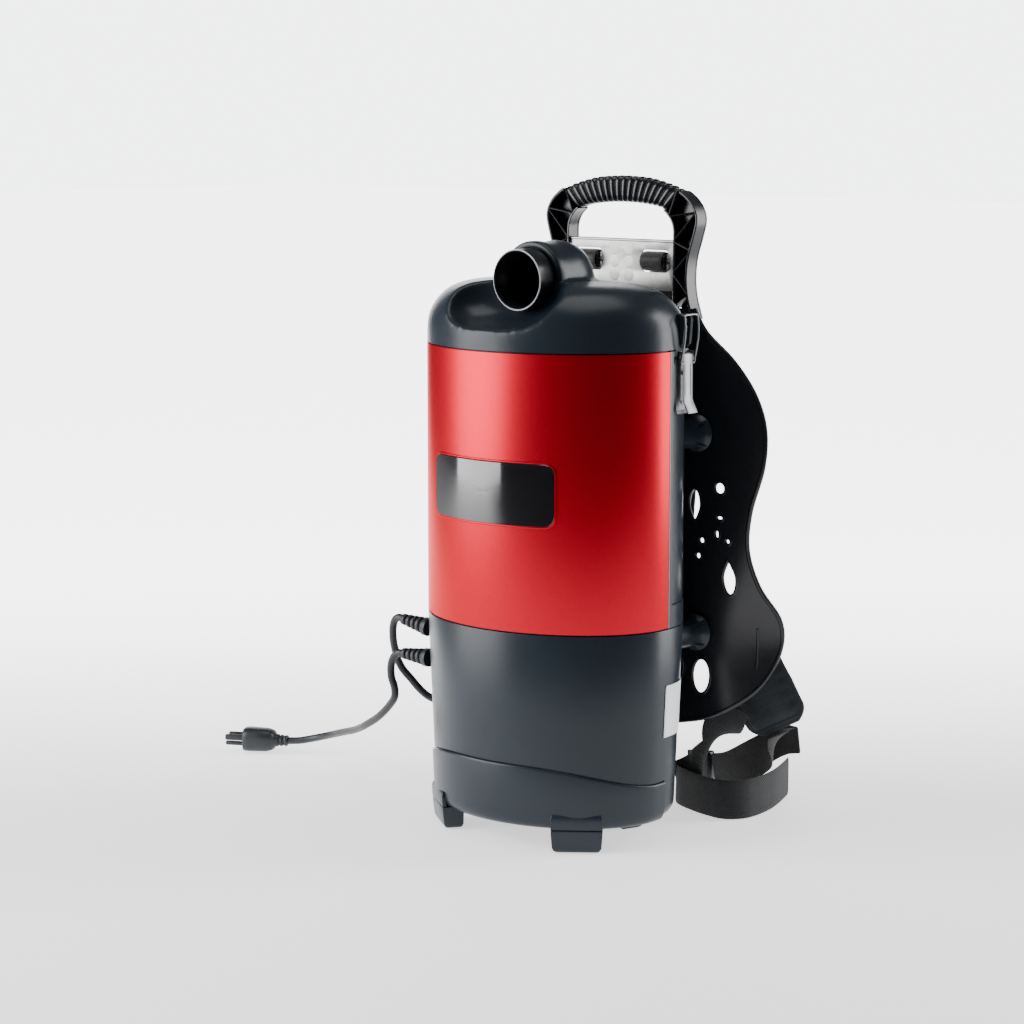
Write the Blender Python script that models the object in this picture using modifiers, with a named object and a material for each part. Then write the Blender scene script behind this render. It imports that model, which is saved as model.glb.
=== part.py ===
"""Backpack vacuum cleaner: an upright tank on a motor base, carried by a moulded harness plate.

Metres, +Z up, feet on the plane z = 0. The intake faces -Y, the wearer stands on the +Y side.
Every sub-part is placed in the tank's own frame, whose axis is the upright centre line of the
tank. BODY_Y then sets that frame back so that the whole object is centred over the origin.
"""

import math

import bmesh
import bpy
from mathutils import Matrix, Vector

# ---------------------------------------------------------------- driving dimensions
COLLECTION = "backpack_vacuum"
HALF_WIDTH = 0.130          # tank, centre line to side
FRONT_DEPTH = 0.100         # tank, centre line to front
BACK_DEPTH = 0.080          # tank, centre line to back
FRONT_EXP = 1.94            # superellipse exponents of the tank's outline
BACK_EXP = 2.7
SEAM_LOW = 0.203            # motor housing to tank
SEAM_HIGH = 0.458           # tank to lid
TAPER = 0.34                # relative shrink per metre below the low seam
WALL = 0.0035
GAP = 0.0003                # clearance between touching pieces
BELT_REAR = 0.2333          # rearmost point of the belts, behind the tank's centre line
BADGE_PROUD = 0.0018
BODY_Y = (FRONT_DEPTH + BADGE_PROUD - BELT_REAR) / 2
COVER_PROUD = 0.002

PANEL_THICK = 0.0018
PANEL_BACK_Y = 0.007        # the red panel ends just behind the widest line

INLET_Z = 0.519
INLET_R = 0.028
INLET_MOUTH_Y = -0.053
COLLAR_R = 0.033
COLLAR_FRONT_Y = -0.031
DOME_TOP = 0.517

COVER_LOW = 0.022
COVER_TOP = 0.080
COVER_BACK_Y = 0.012
HOUSING_FLOOR = 0.026

LATCH_Y = 0.031
LATCH_PIVOT_X = 0.129
LATCH_PIVOT_Z = 0.452
BAIL_FOOT = (0.1314, 0.445)  # x, z of the wire's hinge in the lever
BAIL_TOP = (0.1346, 0.489)
WIRE_R = 0.0009
STRIP_HALF = 0.0006         # half the thickness of the lever's strip

PLATE_Y = 0.101             # front face of the harness plate
PLATE_THICK = 0.0035
HANDLE_DEPTH = 0.016
HANDLE_TOP = 0.611
GRIP_HALF = 0.062           # half-width of the hand opening
STANDOFF_X = 0.092
STANDOFF_Z = (0.182, 0.372)
BRACKET_THICK = 0.002
SLOT = (0.024, 0.055, 0.520, 0.541)   # x range and z range of a strap slot
ROLLER_R = 0.0075

FAN_Y = -0.005              # motor axis
CORD_R = 0.00375
WEBBING = 0.038
WEBBING_THICK = 0.0016
LOOP_WEBBING = 0.0255
PAD_THICK = 0.012
PAD_ROUND = 0.004
RELIEF_Y = -0.032
RELIEF_BASE_X = -0.1258
RELIEF_TIP_X = -0.160
RELIEF_LOW_Z = 0.1495
RELIEF_HIGH_Z = 0.179
PLUG_TAIL = (-0.3915, 0.0430, 0.0135)
PLUG_ANGLE = math.radians(207.0)
SWITCH_AT = (-0.161, 0.1328, 0.104)

FOOT_FRONT = (0.0717, -0.0523)   # middle of a front foot's lower outer edge
FOOT_REAR = (0.0560, 0.0480)
FOOT_TURN = math.radians(37)     # its outward direction, from straight ahead
REAR_TURN = math.radians(20)     # a rear foot's, from straight back

RING = 40                   # points round the tank
TURN = 20                   # steps round a turned piece


# ---------------------------------------------------------------- scene and materials
def clear_scene():
    for obj in list(bpy.data.objects):
        bpy.data.objects.remove(obj, do_unlink=True)


def collection(name):
    made = bpy.data.collections.new(name)
    bpy.context.scene.collection.children.link(made)
    return made


def material(name, color, roughness, metallic=0.0):
    made = bpy.data.materials.new(name)
    made.use_nodes = True
    shader = made.node_tree.nodes["Principled BSDF"]
    shader.inputs["Base Color"].default_value = (*color, 1.0)
    shader.inputs["Roughness"].default_value = roughness
    shader.inputs["Metallic"].default_value = metallic
    return made


clear_scene()
PARTS = collection(COLLECTION)
CUTTERS = collection("cutters")
FRAME = bpy.data.objects.new("tank_frame", None)
FRAME.location = (0.0, BODY_Y, 0.0)
PARTS.objects.link(FRAME)

SLATE = material("slate_plastic", (0.035, 0.050, 0.065), 0.32)
BLACK = material("black_plastic", (0.010, 0.011, 0.014), 0.35)
RED = material("red_metallic_panel", (0.55, 0.010, 0.035), 0.28, 0.35)
BADGE = material("gloss_badge", (0.008, 0.008, 0.010), 0.08)
STEEL = material("zinc_steel", (0.55, 0.54, 0.52), 0.35, 1.0)
RUBBER = material("rubber", (0.020, 0.022, 0.025), 0.75)
FABRIC = material("belt_fabric", (0.020, 0.021, 0.024), 0.9)
PAPER = material("filter_paper", (0.75, 0.70, 0.60), 0.9)
WHITE = material("label_film", (0.85, 0.86, 0.87), 0.45)
COPPER = material("motor_core", (0.30, 0.16, 0.08), 0.45, 0.8)


# ---------------------------------------------------------------- making objects
def add(name, mesh, mat, at=(0.0, 0.0, 0.0), turn=(0.0, 0.0, 0.0), cutter=False):
    """A named object under the tank frame, or a hidden cutter."""
    obj = bpy.data.objects.new(name, mesh)
    obj.parent = FRAME
    obj.location = at
    obj.rotation_euler = turn
    (CUTTERS if cutter else PARTS).objects.link(obj)
    if mat is not None:
        mesh.materials.append(mat)
    if cutter:
        obj.hide_render = True
        obj.display_type = "WIRE"
    return obj


def mesh_from(bm, name, angle=35.0):
    bmesh.ops.recalc_face_normals(bm, faces=bm.faces)
    mesh = bpy.data.meshes.new(name)
    bm.to_mesh(mesh)
    bm.free()
    mesh.shade_smooth()
    mesh.set_sharp_from_angle(angle=math.radians(angle))
    return mesh


def loft(name, rings, mat, at=(0.0, 0.0, 0.0), turn=(0.0, 0.0, 0.0), cutter=False):
    """A closed solid through rings of equal point count, capped at both ends."""
    bm = bmesh.new()
    rows = [[bm.verts.new(Vector(p)) for p in ring] for ring in rings]
    count = len(rows[0])
    for low, high in zip(rows, rows[1:]):
        for i in range(count):
            j = (i + 1) % count
            bm.faces.new((low[i], low[j], high[j], high[i]))
    bm.faces.new(rows[0][::-1])
    bm.faces.new(rows[-1])
    return add(name, mesh_from(bm, name), mat, at, turn, cutter)


def box(name, low, high, mat=None, cutter=False, at=(0.0, 0.0, 0.0)):
    bm = bmesh.new()
    bmesh.ops.create_cube(bm, size=1.0)
    low, high = Vector(low), Vector(high)
    size, centre = high - low, (low + high) / 2
    for vert in bm.verts:
        vert.co = Vector((vert.co.x * size.x, vert.co.y * size.y, vert.co.z * size.z)) + centre
    return add(name, mesh_from(bm, name), mat, at, cutter=cutter)


def turned(name, profile, mat, at=(0.0, 0.0, 0.0), turn=(0.0, 0.0, 0.0), steps=TURN,
           cutter=False, closed=False):
    """A profile of (radius, height) pairs, outer side from top to bottom, spun about Z."""
    mesh = bpy.data.meshes.new(name)
    verts = [(r, 0.0, z) for r, z in profile]
    edges = [(i, i + 1) for i in range(len(verts) - 1)]
    if closed:
        edges.append((len(verts) - 1, 0))
    mesh.from_pydata(verts, edges, [])
    obj = add(name, mesh, mat, at, turn, cutter)
    screw = obj.modifiers.new("turn", "SCREW")
    screw.axis = "Z"
    screw.angle = math.tau
    screw.steps = steps
    screw.render_steps = steps
    screw.use_merge_vertices = True
    screw.merge_threshold = 0.00001
    screw.use_smooth_shade = True
    return obj


def ball(name, centre, radii, cutter=True, segments=28, rings=16):
    bm = bmesh.new()
    bmesh.ops.create_uvsphere(bm, u_segments=segments, v_segments=rings, radius=1.0)
    for vert in bm.verts:
        vert.co = Vector([c * r for c, r in zip(vert.co, radii)]) + Vector(centre)
    return add(name, mesh_from(bm, name), None, cutter=cutter)


def boolean(obj, other, operation="DIFFERENCE"):
    mod = obj.modifiers.new(operation.lower(), "BOOLEAN")
    mod.object = other
    mod.operation = operation
    mod.solver = "EXACT"
    return obj


def bevel(obj, width, segments=2, angle=35.0):
    mod = obj.modifiers.new("bevel", "BEVEL")
    mod.width = width
    mod.segments = segments
    mod.limit_method = "ANGLE"
    mod.angle_limit = math.radians(angle)
    return obj


def wire(name, points, radius, mat, resolution=2, cyclic=False, at=(0.0, 0.0, 0.0)):
    """A round wire or cord through the points, as a poly curve with filled caps."""
    data = bpy.data.curves.new(name, "CURVE")
    data.dimensions = "3D"
    data.bevel_depth = radius
    data.bevel_resolution = resolution
    data.use_fill_caps = not cyclic
    spline = data.splines.new("POLY")
    spline.points.add(len(points) - 1)
    spline.use_cyclic_u = cyclic
    for target, point in zip(spline.points, points):
        target.co = (*(Vector(point) - Vector(at)), 1.0)
    obj = bpy.data.objects.new(name, data)
    obj.parent = FRAME
    obj.location = at
    data.materials.append(mat)
    PARTS.objects.link(obj)
    return obj


def flat_outline(name, loops, depth, cutter=False, mat=None):
    """A flat outline with holes in the XZ plane, extruded from y = 0 to y = depth, as a mesh."""
    data = bpy.data.curves.new(name, "CURVE")
    data.dimensions = "2D"
    data.fill_mode = "BOTH"
    data.extrude = depth / 2
    for loop in loops:
        spline = data.splines.new("POLY")
        spline.points.add(len(loop) - 1)
        spline.use_cyclic_u = True
        for target, (x, z) in zip(spline.points, loop):
            target.co = (x, z, 0.0, 1.0)
    curve = bpy.data.objects.new(name, data)
    bpy.context.scene.collection.objects.link(curve)
    bpy.context.view_layer.update()
    graph = bpy.context.evaluated_depsgraph_get()
    mesh = bpy.data.meshes.new_from_object(curve.evaluated_get(graph))
    bpy.data.objects.remove(curve, do_unlink=True)
    mesh.transform(Matrix.Translation((0.0, depth / 2, 0.0)) @ Matrix.Rotation(math.pi / 2, 4, "X"))
    bm = bmesh.new()
    bm.from_mesh(mesh)
    bmesh.ops.remove_doubles(bm, verts=bm.verts, dist=0.00001)
    return add(name, mesh_from(bm, name), mat, cutter=cutter)


def smooth_path(points, count):
    """Evenly spaced points on the smooth (centripetal Catmull-Rom) curve through points."""
    pts = [Vector(p) for p in points]
    pts = [2 * pts[0] - pts[1]] + pts + [2 * pts[-1] - pts[-2]]
    dense = []
    for p0, p1, p2, p3 in zip(pts, pts[1:], pts[2:], pts[3:]):
        t1 = max((p1 - p0).length, 1e-9) ** 0.5
        t2 = t1 + max((p2 - p1).length, 1e-9) ** 0.5
        t3 = t2 + max((p3 - p2).length, 1e-9) ** 0.5
        for step in range(24):
            t = t1 + (t2 - t1) * step / 24
            a1 = p0 * ((t1 - t) / t1) + p1 * (t / t1)
            a2 = p1 * ((t2 - t) / (t2 - t1)) + p2 * ((t - t1) / (t2 - t1))
            a3 = p2 * ((t3 - t) / (t3 - t2)) + p3 * ((t - t2) / (t3 - t2))
            b1 = a1 * ((t2 - t) / t2) + a2 * (t / t2)
            b2 = a2 * ((t3 - t) / (t3 - t1)) + a3 * ((t - t1) / (t3 - t1))
            dense.append(b1 * ((t2 - t) / (t2 - t1)) + b2 * ((t - t1) / (t2 - t1)))
    dense.append(pts[-2])
    lengths = [0.0]
    for a, b in zip(dense, dense[1:]):
        lengths.append(lengths[-1] + (b - a).length)
    out = []
    k = 0
    for i in range(count):
        goal = lengths[-1] * i / (count - 1)
        while k < len(dense) - 2 and lengths[k + 1] < goal:
            k += 1
        span = max(lengths[k + 1] - lengths[k], 1e-12)
        out.append(dense[k].lerp(dense[k + 1], min(1.0, max(0.0, (goal - lengths[k]) / span))))
    return out


def along(values, share):
    """The value that share of the way through a list of evenly spaced values."""
    place = (len(values) - 1) * share
    k = min(int(place), len(values) - 2)
    return values[k] + (values[k + 1] - values[k]) * (place - k)


def strap(name, route, sides, widths, thickness, mat, count=24, rounded=0.0):
    """A flat band along route; sides and widths are evenly spaced from its start to its end."""
    path = smooth_path(route, count)
    directions = [Vector(side).normalized() for side in sides]
    rings = []
    for i, point in enumerate(path):
        tangent = (path[min(i + 1, count - 1)] - path[max(i - 1, 0)]).normalized()
        side = along(directions, i / (count - 1))
        side = (side - tangent * side.dot(tangent)).normalized()
        normal = tangent.cross(side)
        half = along(widths, i / (count - 1)) / 2
        thick = thickness / 2
        if rounded:
            corners = [(half, 0.0), (half - rounded, thick), (-half + rounded, thick),
                       (-half, 0.0), (-half + rounded, -thick), (half - rounded, -thick)]
        else:
            corners = [(half, thick), (-half, thick), (-half, -thick), (half, -thick)]
        rings.append([point + side * a + normal * b for a, b in corners])
    return loft(name, rings, mat)


# ---------------------------------------------------------------- the tank's outline
def taper(z):
    return 1.0 + min(0.0, z - SEAM_LOW) * TAPER


def outline(angle, inset=0.0, scale=1.0):
    """A point of the tank's horizontal outline, drawn in from its walls by inset."""
    c, s = math.cos(angle), math.sin(angle)
    exponent, depth = (FRONT_EXP, FRONT_DEPTH) if s < 0 else (BACK_EXP, BACK_DEPTH)
    x = math.copysign(abs(c) ** (2 / exponent), c) * (HALF_WIDTH * scale - inset)
    y = math.copysign(abs(s) ** (2 / exponent), s) * (depth * scale - inset)
    return x, y


def tank_ring(z, inset, count=RING):
    scale = taper(z)
    return [(*outline(math.tau * i / count, inset, scale), z) for i in range(count)]


def back_angle(y):
    """The outline angle at which the side wall reaches y, behind the widest line."""
    return math.asin((y / BACK_DEPTH) ** (BACK_EXP / 2))


def side_x(y, inset=0.0):
    return outline(back_angle(y), inset)[0]


def add_standoffs(shell, z):
    """Two posts moulded on the shell's back, flared where the harness plate bolts to them."""
    angle = math.acos((STANDOFF_X / HALF_WIDTH) ** (BACK_EXP / 2))
    start = outline(angle, 0.0, taper(z))[1] - WALL / 2
    far = wing_y(STANDOFF_X - 0.022, z) - 0.0006
    reach = far - start
    profile = [(0.0, reach), (0.0125, reach), (0.0125, 0.010), (0.0180, 0.0015), (0.0180, 0.0), (0.0, 0.0)]
    for side in (-1, 1):
        post = turned(f"post_{side}_{z:.3f}", profile, None, (side * STANDOFF_X, far, z),
                      (math.pi / 2, 0.0, 0.0), steps=20, cutter=True)
        boolean(shell, post, "UNION")


def wrap(name, section, end_angle, steps, mat, cutter=False):
    """A band round the front; section(angle) gives its closed (inset, z) cross-section."""
    rings = []
    for i in range(steps + 1):
        angle = end_angle - (math.pi + 2 * end_angle) * i / steps
        rings.append([(*outline(angle, inset, taper(z)), z) for inset, z in section(angle)])
    return loft(name, rings, mat, cutter=cutter)


def cup(name, outer, inner, mat, cutter=False):
    """A shell with one open end: rings up the outside, then back down the inside."""
    rings = [tank_ring(z, inset) for z, inset in outer + inner[::-1]]
    return loft(name, rings, mat, cutter=cutter)


# ---------------------------------------------------------------- motor base
def cover_top(angle):
    """The front cover's arched upper edge: highest in front, dropping towards the sides."""
    x = abs(outline(angle)[0]) / HALF_WIDTH
    return COVER_TOP - 0.021 * x ** 3.2


def cover_section(grow):
    def section(angle):
        top = cover_top(angle) + grow
        out = -COVER_PROUD - grow * 8
        return [(0.008 + grow, COVER_LOW - grow), (0.003, COVER_LOW - grow), (out + 0.0015, 0.026),
                (out, 0.034), (out, top), (0.001 + grow, top), (0.001 + grow, 0.034),
                (0.0035 + grow, 0.0275), (0.008 + grow, 0.0252 + grow)]
    return section


def motor_housing():
    outer = [(0.022, 0.016), (0.0235, 0.007), (0.028, 0.0015), (0.034, 0.0), (0.120, 0.0), (SEAM_LOW, 0.0)]
    inner = [(0.030, 0.016), (0.036, WALL), (0.120, WALL), (SEAM_LOW, WALL)]
    shell = cup("motor_housing", outer, inner, SLATE)
    boolean(shell, wrap("cover_room", cover_section(GAP * 1.3), back_angle(COVER_BACK_Y + 0.0005), 30,
                        None, cutter=True))
    boolean(shell, box("under_room", (-0.2, -0.2, 0.0), (0.2, COVER_BACK_Y + 0.0005, HOUSING_FLOOR),
                       cutter=True))
    for i in range(7):
        x = (i - 3) * 0.012
        boolean(shell, box(f"grille_slot_{i}", (x - 0.003, FAN_Y - 0.032, 0.0),
                           (x + 0.003, FAN_Y + 0.032, 0.05), cutter=True))
    add_standoffs(shell, STANDOFF_Z[0])
    return shell


def base_cover():
    cover = wrap("base_cover", cover_section(0.0), back_angle(COVER_BACK_Y), 30, SLATE)
    for side in (-1, 1):
        lug = foot_rings(((0.0235, 0.0230, 0.0187, 0.0211), (0.033, 0.0235, 0.0189, 0.0219),
                          (0.0365, 0.0215, 0.0191, 0.0211)), side, FOOT_FRONT, FOOT_TURN)
        boolean(cover, loft(f"foot_lug_{side}", lug, None, cutter=True), "UNION")
    return cover


def foot_rings(levels, side, at, turn):
    """Rectangular rings about a foot; near and far are measured outward from the point at."""
    base = Vector((side * at[0], at[1], 0.0))
    out = Vector((side * math.sin(turn), -math.cos(turn), 0.0))
    across = Vector((out.y, -out.x, 0.0))
    rings = []
    for z, half, near, far in levels:
        lift = base + Vector((0.0, 0.0, z))
        rings.append([lift + out * near + across * half, lift + out * far + across * half,
                      lift + out * far - across * half, lift + out * near - across * half])
    return rings


def feet():
    """Four rubber feet; the front pair stands under the cover's lugs, on a root under the housing's floor."""
    block = [(0.0, 0.0190, 0.0020, 0.0150), (0.0035, 0.0212, 0.0005, 0.0175), (0.0150, 0.0225, 0.0, 0.0195),
             (0.0185, 0.0228, -0.028, 0.0203), (0.0215, 0.0230, -0.028, 0.0205)]
    pad = [(0.0, 0.0170, -0.018, 0.0), (0.0035, 0.0195, -0.020, 0.005), (0.0120, 0.0215, -0.021, 0.012),
           (0.0215, 0.0230, -0.021, 0.021)]
    root = [(0.0216, 0.0150, -0.026, -0.008), (HOUSING_FLOOR - GAP, 0.0150, -0.026, -0.008)]
    for side, hand in ((-1, "left"), (1, "right")):
        loft(f"front_foot_{hand}", foot_rings(block + root, side, FOOT_FRONT, FOOT_TURN), RUBBER)
        loft(f"rear_foot_{hand}", foot_rings(pad, side, FOOT_REAR, math.pi - REAR_TURN), RUBBER)


def motor():
    """Fan case, motor can, bearings, cradle and exhaust filter, fixed in the housing."""
    at = (0.0, FAN_Y, 0.0)
    turned("fan_case", [(0.066, 0.198), (0.066, 0.158), (0.014, 0.158), (0.014, 0.160), (0.064, 0.160),
                        (0.064, 0.196), (0.024, 0.196), (0.024, 0.198)], SLATE, at, closed=True)
    turned("motor_can", [(0.045, 0.152), (0.045, 0.080), (0.0114, 0.080), (0.0114, 0.090), (0.0135, 0.090),
                         (0.0135, 0.0825), (0.0425, 0.0825), (0.0425, 0.1495), (0.0135, 0.1495),
                         (0.0135, 0.142), (0.0114, 0.142), (0.0114, 0.152)], STEEL, at, closed=True)
    turned("motor_mount_ring", [(0.044, 0.1577), (0.044, 0.1523), (0.030, 0.1523), (0.030, 0.1577)],
           RUBBER, at, closed=True)
    turned("motor_cradle", [(0.054, 0.0797), (0.054, 0.0303), (0.051, 0.0303), (0.051, 0.077),
                            (0.040, 0.077), (0.040, 0.0797)], SLATE, at, closed=True)
    turned("exhaust_filter", [(0.0, 0.046), (0.050, 0.046), (0.050, 0.0303), (0.0, 0.0303)], PAPER, at)
    for name, low in (("lower_bearing", 0.0828), ("upper_bearing", 0.1425)):
        turned(name, [(0.011, low + 0.0067), (0.011, low), (0.00435, low), (0.00435, low + 0.0067)],
               STEEL, at, steps=20, closed=True)


def fan():
    """Shaft, rotor and impeller: they spin together about the motor's axis."""
    at = (0.0, FAN_Y, 0.0)
    turned("motor_shaft", [(0.0, 0.188), (0.004, 0.188), (0.004, 0.070), (0.0, 0.070)], STEEL, at, steps=16)
    turned("motor_rotor", [(0.027, 0.138), (0.027, 0.094), (0.0043, 0.094), (0.0043, 0.138)],
           COPPER, at, steps=24, closed=True)
    wheel = turned("fan_impeller", [(0.010, 0.184), (0.010, 0.1690), (0.056, 0.1690), (0.056, 0.1665),
                                    (0.0043, 0.1665), (0.0043, 0.184)], BLACK, at, closed=True)
    bm = bmesh.new()
    for i in range(9):
        turn = Matrix.Rotation(math.tau * i / 9, 4, "Z") @ Matrix.Translation((0.0345, 0.0, 0.1757)) \
            @ Matrix.Rotation(math.radians(35), 4, "Z") @ Matrix.Diagonal((0.036, 0.0016, 0.0150, 1.0))
        bmesh.ops.create_cube(bm, size=1.0, matrix=turn)
    blades = add("impeller_blades", mesh_from(bm, "impeller_blades"), None, at, cutter=True)
    boolean(wheel, blades, "UNION")


# ---------------------------------------------------------------- tank
def tank():
    outer = [(SEAM_LOW + 0.0004, 0.0), (SEAM_HIGH - 0.0005, 0.0)]
    inner = [(SEAM_LOW + 0.004, WALL), (SEAM_HIGH - 0.0005, WALL)]
    shell = cup("tank_shell", outer, inner, SLATE)
    low, high = SEAM_LOW - 0.01, SEAM_HIGH + 0.01
    depth = PANEL_THICK + GAP

    def recess(angle):
        return [(depth, low), (-0.01, low), (-0.01, high), (depth, high)]
    boolean(shell, wrap("panel_room", recess, back_angle(PANEL_BACK_Y + GAP), 32, None, cutter=True))
    boolean(shell, turned("suction_hole", [(0.0, 0.25), (0.026, 0.25), (0.026, 0.15), (0.0, 0.15)],
                          None, (0.0, FAN_Y, 0.0), cutter=True))
    for side in (-1, 1):
        floor_x = side_x(LATCH_Y) - 0.0022
        low_x, high_x = sorted((side * floor_x, side * (HALF_WIDTH + 0.01)))
        boolean(shell, box(f"latch_pocket_{side}", (low_x, LATCH_Y - 0.0115, 0.398),
                           (high_x, LATCH_Y + 0.0115, 0.47), cutter=True))
    add_standoffs(shell, STANDOFF_Z[1])
    return shell


def red_panel():
    low, high = SEAM_LOW + 0.0010, SEAM_HIGH - 0.0010

    def section(angle):
        return [(PANEL_THICK, low), (0.0, low), (0.0, high), (PANEL_THICK, high)]
    return wrap("red_panel", section, back_angle(PANEL_BACK_Y), 36, RED)


def badge():
    """A blank, gently curved name plate with round corners, stuck on the red panel."""
    half_w, low, high, corner = 0.0695, 0.3015, 0.3590, 0.009
    centre_z, half_h = (low + high) / 2, (high - low) / 2
    reach = math.acos(half_w / HALF_WIDTH) * -1
    rings = []
    for i in range(29):
        angle = reach - (math.pi + 2 * reach) * i / 28
        x = abs(outline(angle)[0])
        into = max(0.0, x - (half_w - corner))
        cut = corner - math.sqrt(max(0.0, corner ** 2 - min(into, corner * 0.98) ** 2))
        low_z, high_z = centre_z - half_h + cut, centre_z + half_h - cut
        rings.append([(*outline(angle, inset), z) for inset, z in
                      ((-GAP, low_z), (-BADGE_PROUD, low_z), (-BADGE_PROUD, high_z), (-GAP, high_z))])
    return loft("badge_plate", rings, BADGE)


def filter_bag():
    rings = [tank_ring(z, inset, 24) for z, inset in
             ((0.214, 0.045), (0.222, 0.028), (0.245, 0.017), (0.330, 0.013), (0.400, 0.017),
              (0.425, 0.030), (0.436, 0.050))]
    loft("filter_bag", rings, PAPER)
    turned("bag_collar", [(0.046, 0.4405), (0.046, 0.4365), (0.026, 0.4365), (0.026, 0.4405)],
           PAPER, (0.0, 0.0, 0.0), closed=True)


def rating_label():
    """A blank label film on the housing's right side, below the low seam."""
    rings = []
    for i in range(11):
        angle = math.radians(2.2) + math.radians(30.8) * i / 10
        rings.append([(*outline(angle, inset, taper(z)), z) for inset, z in
                      ((-GAP, 0.101), (-0.0007, 0.101), (-0.0007, 0.150), (-GAP, 0.150))])
    return loft("rating_label", rings, WHITE)


# ---------------------------------------------------------------- lid, intake and gasket
DOME = ((SEAM_HIGH + 0.0003, 0.0), (0.478, 0.0008), (0.487, 0.0030), (0.495, 0.0075), (0.502, 0.0135),
        (0.508, 0.0210), (0.512, 0.0300), (0.515, 0.0420), (DOME_TOP, 0.0600))


def dome_solid(name, thinner, low, mat, cutter):
    levels = DOME[1:] if thinner == 0.0 else DOME[1::2]
    rings = [tank_ring(z - thinner, inset + thinner) for z, inset in levels]
    rings.insert(0, tank_ring(low, thinner))
    return loft(name, rings, mat, cutter=cutter)


def hump(name, grow, front_y):
    """The intake elbow's casing: a level barrel that ends in a rounded shoulder."""
    radius = COLLAR_R + grow
    back = 0.004
    barrel = turned(name, [(0.0, 0.0), (radius, 0.0), (radius, front_y - back), (0.0, front_y - back)],
                    None, (0.0, back, INLET_Z), (-math.pi / 2, 0.0, 0.0), cutter=True)
    shoulder = ball(name + "_end", (0.0, back, INLET_Z), (radius, 0.038 + grow, radius + 0.001),
                    segments=TURN, rings=12)
    return boolean(barrel, shoulder, "UNION")


def scoop(name, grow):
    """The dish below the intake, which leaves room for the hose cuff."""
    return ball(name, (0.0, -0.080, 0.524), (0.062 + grow, 0.052 + grow, 0.048 + grow), segments=28, rings=14)


def keeper(side):
    """The latch's keeper, moulded on the lid's side; it ends just inside the wire's cross bar."""
    levels = ((0.459, 0.1275), (0.462, 0.1300), (0.480, 0.1322), (0.4855, BAIL_TOP[0] - 0.0013),
              (0.4880, BAIL_TOP[0] - 0.0016))
    rings = []
    for z, x in levels:
        rings.append([(side * 0.120, LATCH_Y - 0.007, z), (side * x, LATCH_Y - 0.007, z),
                      (side * x, LATCH_Y + 0.007, z), (side * 0.120, LATCH_Y + 0.007, z)])
    return loft(f"keeper_{side}", rings, None, cutter=True)


def lid():
    shell = dome_solid("lid", 0.0, SEAM_HIGH + 0.0003, SLATE, False)
    boolean(shell, scoop("scoop", 0.0))
    boolean(shell, hump("hump", 0.0, COLLAR_FRONT_Y), "UNION")
    for side in (-1, 1):
        boolean(shell, keeper(side), "UNION")
    hollow = dome_solid("lid_hollow", 0.003, 0.40, None, True)
    boolean(hollow, scoop("scoop_back", 0.003))
    boolean(hollow, hump("hump_hollow", -0.003, -0.020), "UNION")
    boolean(shell, hollow)
    boolean(shell, turned("inlet_bore", [(0.0, 0.04), (INLET_R + 0.0004, 0.04), (INLET_R + 0.0004, -0.02),
                                         (0.0, -0.02)], None, (0.0, -0.03, INLET_Z),
                          (math.pi / 2, 0.0, 0.0), cutter=True))
    return shell


def gasket():
    rings = [tank_ring(z, inset) for z, inset in
             ((0.4520, WALL + 0.0004), (0.4640, WALL + 0.0004), (0.4640, 0.0075), (0.4520, 0.0075))]
    bm = bmesh.new()
    rows = [[bm.verts.new(p) for p in ring] for ring in rings]
    for low, high in zip(rows, rows[1:] + rows[:1]):
        for i in range(RING):
            j = (i + 1) % RING
            bm.faces.new((low[i], low[j], high[j], high[i]))
    return add("lid_gasket", mesh_from(bm, "lid_gasket"), RUBBER)


def intake():
    """The swivelling intake tube; its object's Z axis points out of the mouth."""
    reach = -INLET_MOUTH_Y
    bore = INLET_R - 0.0025
    profile = [(INLET_R - 0.0008, reach), (INLET_R, reach - 0.0010), (INLET_R, 0.006),
               (bore, 0.006), (bore, reach - 0.0010), (bore + 0.0008, reach)]
    return turned("inlet_tube", profile, BLACK, (0.0, 0.0, INLET_Z), (math.pi / 2, 0.0, 0.0),
                  steps=32, closed=True)


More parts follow.
